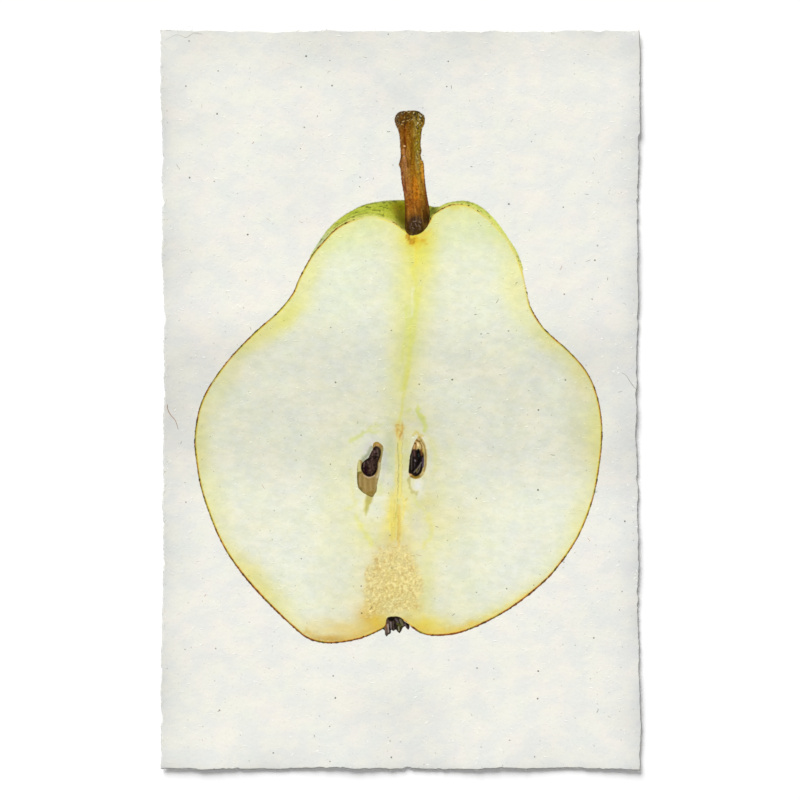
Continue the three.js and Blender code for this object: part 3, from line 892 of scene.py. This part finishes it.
CALYX_STROKES = (
    (((-13, -228), (-14.4, -234), (-15, -241)), 4, (98, 80, 70), 0.85, 2),
    (((-14.2, -227.6), (-14.8, -231)), 1.6, (108, 78, 52), 0.8, 1.2),
    (((-15.4, -232), (-15.6, -237)), 1.6, (148, 98, 54), 0.85, 1),
    (((-13.6, -232.4), (-13, -236.6), (-12.8, -240)), 1.5, (176, 156, 146), 0.9, 0.9),
    (((-10.6, -230), (-10.2, -236)), 1.7, (136, 120, 116), 0.85, 1),
    (((-12, -235.6), (-10.8, -239.8)), 1.3, (8, 6, 4), 0.95, 0.8),
    (((-8.2, -228.6), (-8, -233.4)), 1.5, (92, 76, 68), 0.8, 1.1),
    (((-7.2, -234.6), (-7, -238)), 1.3, (102, 88, 84), 0.8, 0.9),
    (((-5.4, -226.8), (-3, -230)), 2, (98, 84, 88), 0.8, 1.2),
    (((-0.6, -227.6), (1.6, -232.6)), 2.6, (114, 112, 82), 0.85, 1.4),
    (((-3.8, -231.4), (-0.4, -234)), 2.2, (90, 92, 38), 0.8, 1.2),
    (((-2.4, -234.8), (-2, -238.2)), 1.5, (146, 146, 110), 0.9, 0.9),
    (((-17, -235.6), (-15.4, -239)), 1, (140, 122, 110), 0.7, 0.9),
    (((-11.6, -226.6), (-8.6, -227)), 3.4, (18, 12, 8), 0.9, 2),
    (((0.6, -234), (0.2, -237)), 1.2, (58, 60, 18), 0.8, 0.9),
    (((4, -232), (5.4, -234)), 1.7, (104, 88, 92), 0.85, 1),
    (((6, -232), (7, -232.8)), 1.6, (12, 10, 8), 0.9, 1),
    (((7, -235), (7.4, -237)), 1.1, (72, 66, 68), 0.8, 0.8),
    (((-6.6, -232), (-6.4, -237)), 1, (20, 14, 8), 0.8, 1),
)


def paint_dark_things(x, y, depth):
    """The dark things in the picture: the stem, the seeds in their cells, and the dried calyx."""
    body = Layer(x, y, (44, 34, 26))
    body.rgb[in_box(x, y, *LEFT_CELL_BOX)] = (160, 134, 78)
    body.rgb[in_box(x, y, *RIGHT_CELL_BOX)] = (206, 186, 124)
    body.paint(strokes=LEFT_CELL_STROKES)
    seed = depth_inside(x, y, LEFT_SEED)
    coat = Layer(x, y, (56, 40, 34))
    coat.paint(strokes=LEFT_SEED_STROKES)
    coat.blend((20, 12, 8), 0.7 * spots(x, y, 1.7, 69, 0.2, 0.6))
    coat.blend((104, 80, 68), 0.5 * spots(x, y, 1.3, 71, 0.5, 0.8))
    body.blend(coat.rgb, fade(seed, -0.5, 0.5))
    body.paint(strokes=RIGHT_SEED_STROKES + CALYX_STROKES)
    paint_stem(body, depth)
    return body


# ---------------------------------------------------------------- materials

GLOSS = 0.02  # the specular level of paper and ink, which are matt
FOOT_START, FOOT_END = -130, -200  # between these heights the skin's cut edge turns thick and ruddy
HALO_DEPTH, LINE_DEPTH = 0.6, 0.15  # how deep in the flesh the middles of that edge's halo and line are


class Nodes:
    """Builds a material's nodes: each call adds one and gives back the socket it comes out of."""

    def __init__(self, name):
        self.material = bpy.data.materials.new(name)
        self.material.use_nodes = True
        self.tree = self.material.node_tree
        self.shader = self.tree.nodes["Principled BSDF"]
        self.shader.inputs["Specular IOR Level"].default_value = GLOSS

    def add(self, kind, inputs, out=0, **settings):
        node = self.tree.nodes.new("ShaderNode" + kind)
        for key, value in settings.items():
            setattr(node, key, value)
        for key, value in inputs.items():
            self.plug(value, node.inputs[key])
        return node.outputs[out]

    def plug(self, value, socket):
        if isinstance(value, bpy.types.NodeSocket):
            self.tree.links.new(value, socket)
        else:
            socket.default_value = value

    def finish(self, colour, roughness, normal=None):
        for name, value in (("Base Color", colour), ("Roughness", roughness), ("Normal", normal)):
            if value is not None:
                self.plug(value, self.shader.inputs[name])
        return self.material

    def math(self, operation, a, b=0.0, c=0.0):
        return self.add("Math", {0: a, 1: b, 2: c}, operation=operation)

    def step(self, value, start, end, low=0.0, high=1.0):
        """A smooth step from low at start to high at end."""
        sockets = {0: value, 1: start, 2: end, 3: low, 4: high}
        return self.add("MapRange", sockets, interpolation_type="SMOOTHSTEP")

    def mix(self, factor, a, b, blend="MIX"):
        return self.add("Mix", {0: factor, 6: a, 7: b}, out=2, data_type="RGBA", blend_type=blend)

    def scaled(self, vector, factor):
        return self.add("VectorMath", {0: vector, "Scale": factor}, operation="SCALE")

    def moved(self, vector, offset):
        return self.add("VectorMath", {0: vector, 1: offset})

    def stretched(self, vector, x, y, turn=0):
        """The vector turned by degrees about Z, then divided by a lump's size along X and Y."""
        if turn:
            turned = {"Vector": vector, "Angle": math.radians(turn)}
            vector = self.add("VectorRotate", turned, rotation_type="Z_AXIS")
        return self.add("VectorMath", {0: vector, 1: (1 / x, 1 / y, 0)}, operation="MULTIPLY")

    def noise(self, vector, detail=2.0, roughness=0.5):
        sockets = {"Vector": vector, "Scale": 1.0, "Detail": detail, "Roughness": roughness}
        return self.add("TexNoise", sockets, noise_dimensions="2D")

    def cells(self, vector, out="Distance"):
        return self.add("TexVoronoi", {"Vector": vector, "Scale": 1.0}, out=out, voronoi_dimensions="2D")

    def attribute(self, name, out="Color"):
        return self.add("Attribute", {}, out=out, attribute_name=name)

    def parts(self, vector):
        """The three numbers in a vector or colour."""
        node = self.tree.nodes.new("ShaderNodeSeparateXYZ")
        self.plug(vector, node.inputs[0])
        return list(node.outputs)

    def on_sheet(self):
        """Places on the sheet, in millimetres."""
        return self.scaled(self.add("TexCoord", {}, out="Object"), 1 / MM)


def rgba(colour):
    return (*linear(colour), 1)


def tone(colour):
    """A colour of ink or pulp, as a share of what the paper gives back."""
    return (*(linear(colour) / linear(PAPER)), 1)


def speck_mask(n, place, spacing, biggest, share):
    """Small dark inclusions: at most one to each cell of the given spacing, in a share of the cells."""
    wobble = n.noise(n.stretched(place, 1.1, 0.8), 1)
    seeds = n.stretched(place, spacing, spacing)
    gap = n.math("MULTIPLY", n.cells(seeds), spacing)
    gap = n.math("MULTIPLY_ADD", n.math("SUBTRACT", wobble, 0.5), biggest, gap)
    red, green, _ = n.parts(n.cells(seeds, out="Color"))
    radius = n.math("MULTIPLY", n.step(red, 1 - share, 1), biggest)
    shown = n.math("GREATER_THAN", red, 1 - share)
    mask = n.step(n.math("SUBTRACT", radius, gap), -0.35, 0.35)
    return n.math("MULTIPLY", n.math("MULTIPLY", mask, shown), n.step(green, -0.3, 1))


def crossed(n, place, size, turns):
    """The strongest of a few noises of long lumps, which are turned by different degrees."""
    strongest = None
    for i, turn in enumerate(turns):
        marks = n.noise(n.stretched(n.moved(place, (23 * i, 57 * i, 0)), *size, turn), 2, 0.5)
        strongest = n.math("MAXIMUM", strongest, marks) if i else marks
    return strongest


def pulp_colour(n, place, tone_and_edge_shade):
    """The pulp's tone and painted edge shade, clouded, with light and dark flecks of fibre and dark specks.
    """
    clouds = n.noise(n.stretched(place, 24, 18), 3, 0.55)
    colour = n.mix(n.step(clouds, 0.34, 0.66), tone((235, 235.5, 229)), tone((242, 240, 229)))
    colour = n.mix(1.0, tone_and_edge_shade, colour, "MULTIPLY")
    fine = n.noise(n.stretched(place, 3.0, 2.2, 15), 3, 0.6)
    colour = n.mix(n.step(fine, 0.35, 0.68, 0.0, 0.25), colour, tone((246, 245.5, 237)), "MULTIPLY")
    light = crossed(n, place, (7.5, 2.3), (8, 58, -40))
    flock = n.noise(n.stretched(n.moved(place, (13, 5, 0)), 24, 15), 1)
    light = n.math("MULTIPLY_ADD", n.step(flock, 0.35, 0.65), 0.07, light)
    colour = n.mix(n.step(light, 0.78, 0.87, 0.0, 0.7), colour, rgba((251, 250, 244)))
    dark = crossed(n, n.moved(place, (91, 37, 0)), (5.0, 1.7), (-8, 50, -66))
    colour = n.mix(n.step(dark, 0.71, 0.84, 0.0, 0.5), colour, tone((198, 198, 190)), "MULTIPLY")
    small = speck_mask(n, place, 12, 0.7, 0.4)
    colour = n.mix(n.math("MULTIPLY", small, 0.5), colour, tone((150, 146, 130)), "MULTIPLY")
    big = speck_mask(n, n.moved(place, (7, 3, 0)), 30, 0.95, 0.5)
    colour = n.mix(n.math("MULTIPLY", big, 0.9), colour, tone((88, 84, 72)), "MULTIPLY")
    return colour, (fine, light, dark)


def pulp_bump(n, place, marks):
    """The felt's mark and the fibres, as a height in millimetres."""
    fine, light, dark = marks
    height = n.math("MULTIPLY", n.noise(n.stretched(place, 6.5, 5, 20), 2, 0.5), 0.14)
    height = n.math("MULTIPLY_ADD", fine, 0.01, height)
    height = n.math("ADD", height, n.step(light, 0.74, 0.88, 0.0, 0.14))
    height = n.math("SUBTRACT", height, n.step(dark, 0.68, 0.86, 0.0, 0.04))
    return n.add("Bump", {"Strength": 1.0, "Distance": MM, "Height": height})


def print_skin(n, place, skin, wobble):
    """The green skin behind the shoulders, on bare paper."""
    grain = n.step(n.noise(n.stretched(place, 2.6, 1.3, 25), 3, 0.6), 0.3, 0.7, 0.86, 1.12)
    inside = n.step(n.math("MULTIPLY_ADD", wobble, 1.2, skin), -0.6, 0.8)
    return n.mix(inside, tone(PAPER), n.scaled(n.attribute("skin_ink"), grain))


def print_flesh(n, place, ink, flesh, grit, foot):
    """The cut flesh, with its tints, the crumbs of its gritty patch, and a glow just inside its edge."""
    colour = n.attribute("flesh_ink")
    tint = n.noise(n.stretched(place, 11, 8), 3, 0.6)
    colour = n.mix(n.step(tint, 0.32, 0.68), colour, tone((237, 236, 222)), "MULTIPLY")
    flecks = n.noise(n.stretched(n.moved(place, (67, 29, 0)), 11, 7, 12), 2, 0.55)
    flecks = n.mix(n.step(flecks, 0.36, 0.64), tone((240, 240, 231.5)), tone((235, 235.5, 227.5)))
    colour = n.mix(1.0, colour, flecks, "MULTIPLY")
    crumbs = n.noise(n.stretched(place, 2.4, 2.1), 2, 0.6)
    shade = n.math("MULTIPLY", grit, n.step(crumbs, 0.46, 0.34, 0.0, 0.35))
    colour = n.mix(shade, colour, tone((200, 168, 104)))
    shine = n.math("MULTIPLY", grit, n.step(crumbs, 0.54, 0.62, 0.0, 0.5))
    colour = n.mix(shine, colour, tone((250, 232, 150)))
    glow = n.math("MULTIPLY", n.step(flesh, 0.2, 0.8), n.step(flesh, 3.0, 1.0))
    bright = n.step(n.noise(n.stretched(n.moved(place, (5, 71, 0)), 17, 17), 2), 0.3, 0.6, 0.25, 0.75)
    lit = n.mix(foot, tone((238, 224, 84)), tone((230, 194, 76)))
    colour = n.mix(n.math("MULTIPLY", glow, bright), colour, lit)
    return n.mix(n.step(flesh, -0.5, 0.5), ink, colour)


def print_cut_edge(n, place, ink, flesh, rim, foot):
    """The skin's cut edge: a soft halo, olive or ruddy by stretches, and a dark line of uneven width with
    darker dots. Where the rim is faint, the line breaks into dashes."""
    stretches = n.noise(n.stretched(place, 13, 13), 2, 0.6)
    ruddy = n.math("MULTIPLY_ADD", foot, 0.12, stretches)
    halo = n.mix(n.step(ruddy, 0.42, 0.6), tone((184, 158, 50)), tone((204, 138, 50)))
    gap = n.math("ABSOLUTE", n.math("SUBTRACT", flesh, HALO_DEPTH))
    ink = n.mix(n.math("MULTIPLY", n.step(gap, 1.35, 0.4, 0.0, 0.8), rim), ink, halo)
    dots = n.noise(n.stretched(n.moved(place, (41, 17, 0)), 4.5, 4.5), 2, 0.6)
    dots = n.step(dots, 0.54, 0.64)
    width = n.step(n.noise(n.stretched(place, 6, 6), 2, 0.6), 0.3, 0.7, 0.15, 0.65)
    width = n.math("MULTIPLY_ADD", foot, 0.3, width)
    width = n.math("MULTIPLY_ADD", dots, 0.25, width)
    core = n.mix(n.step(ruddy, 0.46, 0.54), tone((100, 92, 26)), tone((118, 60, 22)))
    core = n.mix(dots, core, tone((52, 34, 14)))
    gap = n.math("ABSOLUTE", n.math("SUBTRACT", flesh, LINE_DEPTH))
    line = n.step(n.math("SUBTRACT", width, gap), -0.35, 0.3, 0.0, 0.92)
    dashes = n.noise(n.stretched(n.moved(place, (19, 83, 0)), 3.2, 3.2), 2, 0.6)
    dashes = n.step(n.math("MULTIPLY_ADD", rim, 0.6, dashes), 0.66, 0.9)
    return n.mix(n.math("MULTIPLY", line, dashes), ink, core)


def print_dark_things(n, place, ink, dark, grain, wobble):
    """The stem, the seeds in their cells and the calyx, and the share of the paper that they cover."""
    streaks = n.step(n.noise(n.stretched(place, 1.7, 5.5, -4), 3, 0.6), 0.35, 0.65, -0.2, 0.24)
    dabs = n.step(n.noise(n.stretched(place, 1.7, 1.7), 2, 0.6), 0.36, 0.64, -0.22, 0.24)
    texture = n.math("MULTIPLY_ADD", n.math("ADD", streaks, dabs), grain, 1.0)
    covered = n.step(n.math("MULTIPLY_ADD", wobble, 0.8, dark), -0.45, 0.45)
    return n.mix(covered, ink, n.scaled(n.attribute("dark_ink"), texture)), covered


def ink_over(n, place, colour):
    """The picture, printed over the pulp's colour. The depths that the mesh carries keep each thing in
    it inside its outline, which a little wobble roughens."""
    wobble = n.math("SUBTRACT", n.noise(n.stretched(place, 2.2, 2.2), 2), 0.5)
    flesh, skin, dark = n.parts(n.attribute("depths", "Vector"))
    flesh = n.math("MULTIPLY_ADD", wobble, 0.6, flesh)
    grit, grain, rim = n.parts(n.attribute("grains", "Vector"))
    foot = n.step(n.parts(place)[1], FOOT_START, FOOT_END)
    ink = print_skin(n, place, skin, wobble)
    ink = print_flesh(n, place, ink, flesh, grit, foot)
    ink = print_cut_edge(n, place, ink, flesh, rim, foot)
    ink, covered = print_dark_things(n, place, ink, dark, grain, wobble)
    return n.mix(1.0, colour, ink, "MULTIPLY"), covered


def print_material():
    """Printed handmade paper."""
    n = Nodes("printed_paper")
    place = n.on_sheet()
    colour, marks = pulp_colour(n, place, n.attribute("pulp"))
    colour, covered = ink_over(n, place, colour)
    matt = n.step(n.noise(n.stretched(place, 4, 3), 3), 0.3, 0.7, 0.86, 0.97)
    roughness = n.math("MULTIPLY_ADD", covered, -0.12, matt)
    return n.finish(colour, roughness, pulp_bump(n, place, marks))


def fibre_material():
    """Stray fibres of the pulp: each has its own shade, a little uneven along it."""
    n = Nodes("paper_fibre")
    place = n.on_sheet()
    uneven = n.step(n.noise(n.stretched(place, 2, 2), 2), 0.3, 0.7, 0.9, 1.06)
    matt = n.step(n.noise(n.stretched(place, 3, 3), 2), 0.3, 0.7, 0.75, 0.9)
    return n.finish(n.scaled(n.attribute("shade"), uneven), matt)


def floor_material():
    """A pale, matt floor."""
    n = Nodes("floor_white")
    n.shader.inputs["Specular IOR Level"].default_value = 0.0
    grey = n.step(n.noise(n.on_sheet(), 2), 0.0, 1.0, 0.975, 0.985)
    matt = n.step(n.noise(n.on_sheet(), 1), 0.0, 1.0, 0.98, 1.0)
    return n.finish(grey, matt)


# ---------------------------------------------------------------- pieces

LIGHT = 1.06  # what a white, flat surface gives back in this scene's light
WELD = 1e-6  # metres: how near two points of the rims are taken for one


def add_object(name, mesh, material):
    mesh.materials.append(material)
    mesh.shade_smooth()
    obj = bpy.data.objects.new(name, mesh)
    bpy.context.scene.collection.objects.link(obj)
    return obj


def read(items, name, width, kind=np.float32):
    """An attribute of a mesh's items, as an array with a row for each item."""
    values = np.empty(len(items) * width, kind)
    items.foreach_get(name, values)
    return values.reshape(-1, width)


def store(mesh, name, values):
    """Keeps three numbers for each vertex in the mesh, for the material to read."""
    attribute = mesh.attributes.new(name, "FLOAT_VECTOR", "POINT")
    attribute.data.foreach_set("vector", np.asarray(values, np.float32).ravel())


FACE_MIDDLE, BACK_MIDDLE = (0.33, 0.5), (0.83, 0.25)  # on the map
BACK_SIZE = 0.5  # against the printed face's size on the map
MAP_MARGIN = 4  # millimetres of the map's height that are left over


def unwrap_sheet(mesh, points, on_back):
    """The printed face fills most of the map, and the back lies beside it at half that size."""
    tall = 2 * HALF[1] + MAP_MARGIN
    co = read(mesh.vertices, "co", 3)[points, :2] / MM
    back = on_back[:, None]
    uv = np.where(back, BACK_MIDDLE, FACE_MIDDLE) + np.where(back, BACK_SIZE, 1) * co / tall
    mesh.uv_layers.new(name="OFBake").data.foreach_set("uv", uv.ravel())


def join_sides():
    """One closed mesh of the sheet, centred where the CAD part is. Two arrays come with it: the point at
    each corner of its faces, and whether that corner is the back's."""
    sides = mesh_of_sheet()
    x, y = coordinates(sides[0])
    shift = CENTRE - np.array((x.min() + x.max(), y.min() + y.max())) / 2
    joined, mesh = bmesh.new(), bpy.data.meshes.new("paper_print")
    for bm in sides:
        for v in bm.verts:
            v.co = ((v.co.x + shift[0]) * MM, (v.co.y + shift[1]) * MM, v.co.z * MM)
        bm.to_mesh(mesh)
        joined.from_mesh(mesh)
    front_faces = len(sides[0].faces)
    bmesh.ops.remove_doubles(joined, verts=[v for v in joined.verts if v.is_boundary], dist=WELD)
    joined.to_mesh(mesh)
    for bm in (*sides, joined):
        bm.free()
    points = read(mesh.loops, "vertex_index", 1, np.int32)[:, 0]
    on_back = np.arange(len(mesh.polygons)) >= front_faces
    return mesh, points, np.repeat(on_back, read(mesh.polygons, "loop_total", 1, np.int32)[:, 0])


STEM_GRAIN, CALYX_GRAIN, SEED_GRAIN = 0.6, 0.5, 0.2  # how strongly the dark things' ink is streaked
HIGH_RIM_LOSS = 0.15  # how much fainter the skin's cut edge is higher up the sheet
# Where it is fainter still: a place, how far from it, and how much fainter.
FAINT_RIM = (
    ((-26, 188), 25, 0.85),
    ((70, 200), 22, 0.5),
    ((98, 180), 24, 0.6),
    ((114, 154), 22, 0.5),
    ((128, 118), 26, 0.55),
    ((7, -231), 7, 0.8),
)


def build_print():
    """The sheet with its picture, whose colours its points carry."""
    mesh, points, on_back = join_sides()
    unwrap_sheet(mesh, points, on_back)
    x, y, _ = read(mesh.vertices, "co", 3).T.astype(float) / MM
    flesh, dark = depth_inside(x, y, FLESH), depth_in_dark(x, y)
    grain = np.where(y > STEM_FLOOR, STEM_GRAIN, np.where(y < CALYX_CEILING, CALYX_GRAIN, SEED_GRAIN))
    rim = 1 - HIGH_RIM_LOSS * fade(y, -180, -60)
    for centre, reach, less in FAINT_RIM:
        rim -= less * patch(x, y, centre, (reach, reach))
    rim = np.maximum(rim, 0)
    depths = np.stack((flesh, depth_in_skin(x, y), dark), 1)
    depths[points[on_back]] = -FAR  # nothing is printed on the back
    store(mesh, "depths", depths)
    store(mesh, "grains", np.stack((grit_share(x, y), grain, rim), 1))
    # the pulp's tone, with the painted shade and painted light band along the edges
    store(mesh, "pulp", paint_pulp_and_edge_shade(x, y).ink() * linear(PAPER) / LIGHT)
    store(mesh, "flesh_ink", paint_flesh(x, y, flesh).ink())
    store(mesh, "skin_ink", paint_skin(x, y, flesh).ink())
    store(mesh, "dark_ink", paint_dark_things(x, y, dark).ink())
    return add_object("paper_print", mesh, print_material())


# Shades of the fibres: six of pulp, from light to dark, then two of bark and two reddish ones.
FIBRE_SHADES = (
    (250, 248, 242), (246, 244, 236), (240, 238, 228), (232, 229, 218), (214, 210, 198), (196, 188, 172),
    (150, 142, 126), (112, 104, 90), (200, 158, 140), (176, 132, 100),
)  # fmt: skip
SIDES = 4  # of each fibre's tube
PALE_FIBRES, DARK_HAIRS, FUZZ = 260, 60, 420  # how many are drawn; pale ones on the picture are left out
PRESSED = 0.15  # how deep the ends of a fibre on the face are pressed into it
LOWEST = 0.2  # of a free end's middle, over the floor

# Long fibres that have come loose at the edges: places, radius and shade.
LOOSE_FIBRES = (
    (((-233, -31), (-236, -22), (-241, -16), (-244.5, -10), (-245, -5)), 0.3, 9),
    (((231, 28), (236, 25), (240, 19), (243.5, 14), (247.5, 10)), 0.22, 6),
    (((-244, 370), (-232, 376), (-222, 374), (-214, 379), (-205, 377.5)), 0.16, 4),
    (((-226, 381), (-220, 385), (-214, 384.5)), 0.14, 4),
)


class Fibres:
    """Gathers fibres as thin tubes, then makes one mesh of them."""

    def __init__(self):
        self.verts, self.faces, self.shades, self.uvs = [], [], [], []

    def add(self, path, radius, shade):
        """path is the places of the fibre's middle, in millimetres. The tube thins towards its ends."""
        first, count = len(self.verts), len(path)
        ahead = np.gradient(path, axis=0)
        ahead /= np.maximum(np.linalg.norm(ahead[:, :2], axis=1), 1e-6)[:, None]
        for i, (point, (dx, dy, _)) in enumerate(zip(path, ahead)):
            thin = radius * (0.25 + 0.75 * math.sin(math.pi * (i + 0.5) / count) ** 0.5)
            for k in range(SIDES):
                turn = 2 * math.pi * k / SIDES
                across, up = thin * math.cos(turn), thin * math.sin(turn)
                self.verts.append(((point + (-dy * across, dx * across, up)) * MM).tolist())
        self.shades += [FIBRE_SHADES[shade]] * (count * SIDES)
        row = 1 / len(FIBRE_SHADES)
        for i in range(count - 1):
            for k in range(SIDES):
                a, b = first + i * SIDES + k, first + i * SIDES + (k + 1) % SIDES
                self.faces.append((a, b, b + SIDES, a + SIDES))
                left, right = i / (count - 1), (i + 1) / (count - 1)
                bottom, top = (shade + (k + 0.1) / SIDES) * row, (shade + (k + 0.9) / SIDES) * row
                self.uvs += [(left, bottom), (left, top), (right, top), (right, bottom)]
        last = first + (count - 1) * SIDES
        self.faces += [tuple(range(first + SIDES - 1, first - 1, -1)), tuple(range(last, last + SIDES))]
        low_v, high_v = (shade + 0.3) * row, (shade + 0.7) * row
        self.uvs += [(0.45, low_v), (0.55, low_v), (0.55, high_v), (0.45, high_v)] * 2

    def mesh(self, name):
        mesh = bpy.data.meshes.new(name)
        mesh.from_pydata(self.verts, [], self.faces)
        store(mesh, "shade", linear(np.array(self.shades)) / LIGHT)
        uvs = np.array(self.uvs, np.float32).ravel()
        mesh.uv_layers.new(name="OFBake").data.foreach_set("uv", uvs)
        return mesh


def wander(rng, start, heading, length, bend, step=1.2):
    """A wandering path on the flat sheet."""
    x, y = start
    path, turn = [(x, y)], rng.gauss(0, bend)
    for _ in range(max(3, int(length / step))):
        turn += rng.gauss(0, bend * 0.5)
        heading += turn * step
        x, y = x + math.cos(heading) * step, y + math.sin(heading) * step
        path.append((x, y))
    return path


def on_face(path, lift):
    """The path laid on the printed face, lifted a little over it, with its ends pressed in."""
    x, y, z = printed_face(*np.array(path).T)
    z += lift
    z[[0, -1]] -= PRESSED
    return np.stack((x, y, z), 1)


def free_end(path, rise):
    """A fibre rooted in the sheet's edge, whose far end sticks out of it and stays over the floor."""
    x, y = np.array(path).T
    kept = np.clip(x, -HALF[0], HALF[0]), np.clip(y, -HALF[1], HALF[1])
    px, py, pz = printed_face(*kept)
    run = np.linspace(0, 1, len(path))
    pz = np.maximum(pz + rise * run**2, LOWEST)
    return np.stack((px + x - kept[0], py + y - kept[1], pz), 1)


def edge_place(along, inward):
    """A place near the edge of the flat sheet, and the heading that leads out of it."""
    width, length = 2 * HALF
    if along < width:
        return (along - HALF[0], HALF[1] - inward), math.pi / 2
    if along < width + length:
        return (HALF[0] - inward, HALF[1] + width - along), 0
    if along < 2 * width + length:
        return (along - length - width - HALF[0], inward - HALF[1]), -math.pi / 2
    return (inward - HALF[0], along - 2 * width - length - HALF[1]), math.pi


def place_on_face(rng, margin):
    return tuple(rng.uniform(margin - half, half - margin) for half in HALF)


def build_fibres():
    """Pale fibres and dark hairs on the printed face, the fuzz of the deckle, and a few loose fibres."""
    rng = random.Random(12)
    fibres = Fibres()
    for _ in range(PALE_FIBRES):
        start = place_on_face(rng, 8)
        path = wander(rng, start, rng.gauss(0, 0.3), rng.uniform(4, 15), 0.03)
        radius, shade = rng.uniform(0.12, 0.28), rng.choice((0, 0, 1, 1, 2, 3))
        if not in_box(*start, *PICTURE_BOX):
            fibres.add(on_face(path, -0.35 * radius), radius, shade)
    for _ in range(DARK_HAIRS):
        start = place_on_face(rng, 12)
        path = wander(rng, start, rng.uniform(0, math.tau), rng.uniform(3, 7), 0.12, 0.9)
        fibres.add(on_face(path, 0.02), rng.uniform(0.14, 0.26), rng.choice((4, 5, 6, 7, 7, 8)))
    for _ in range(FUZZ):
        place, outward = edge_place(rng.uniform(0, 4 * HALF.sum()), rng.uniform(0.6, 3))
        path = wander(rng, place, outward + rng.gauss(0, 0.9), rng.uniform(2, 6), 0.12, 0.8)
        path = free_end(path, rng.uniform(-0.3, 0.8))
        fibres.add(path, rng.uniform(0.05, 0.12), rng.choice((1, 2, 3, 4)))
    for points, radius, shade in LOOSE_FIBRES:
        fibres.add(free_end(curve(points, pieces=5), 0.2), radius, shade)
    return add_object("paper_fibres", fibres.mesh("paper_fibres"), fibre_material())


# ---------------------------------------------------------------- stage

FRAME_WIDTH = 826.0  # the width of the view at the sheet's height
VIEW_CENTRE = (-1.0, 0.0)
LENS, SENSOR = 85.0, 36.0
KEY_SHARE = 0.64  # the key light's share of the light on a flat surface
KEY_AZIMUTH, KEY_HEIGHT, KEY_SPREAD = 113.0, 34.0, 34.0  # degrees
FLOOR_HALF = 20.0  # metres


def build_stage():
    """A plain pale floor, soft light from the upper left, and a camera that looks straight down."""
    scene = bpy.context.scene
    corners = [(x * FLOOR_HALF, y * FLOOR_HALF, 0) for x, y in ((-1, -1), (1, -1), (1, 1), (-1, 1))]
    mesh = bpy.data.meshes.new("floor")
    mesh.from_pydata(corners, [], [(0, 1, 2, 3)])
    add_object("floor", mesh, floor_material())

    key = bpy.data.lights.new("key", "SUN")
    key.energy = LIGHT * KEY_SHARE * math.pi / math.sin(math.radians(KEY_HEIGHT))
    key.angle = math.radians(KEY_SPREAD)
    lamp = bpy.data.objects.new("key", key)
    lamp.rotation_euler = (math.radians(90 - KEY_HEIGHT), 0, math.radians(KEY_AZIMUTH + 90))
    scene.collection.objects.link(lamp)

    scene.world = bpy.data.worlds.new("studio")
    scene.world.use_nodes = True
    background = scene.world.node_tree.nodes["Background"]
    background.inputs["Color"].default_value = (1, 1, 1, 1)
    background.inputs["Strength"].default_value = LIGHT * (1 - KEY_SHARE)
    scene.view_settings.view_transform = "Standard"

    camera = bpy.data.cameras.new("camera")
    camera.lens, camera.sensor_width, camera.sensor_fit = LENS, SENSOR, "HORIZONTAL"
    camera.clip_end = 100
    view = bpy.data.objects.new("camera", camera)
    view.location = [MM * v for v in (*VIEW_CENTRE, FRAME_WIDTH * LENS / SENSOR)]
    scene.collection.objects.link(view)
    scene.camera = view


# ---------------------------------------------------------------- the scene

sheet = build_print()
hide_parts("printed_sheet")
for piece in (sheet, build_fibres()):
    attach(piece, "root")
build_stage()
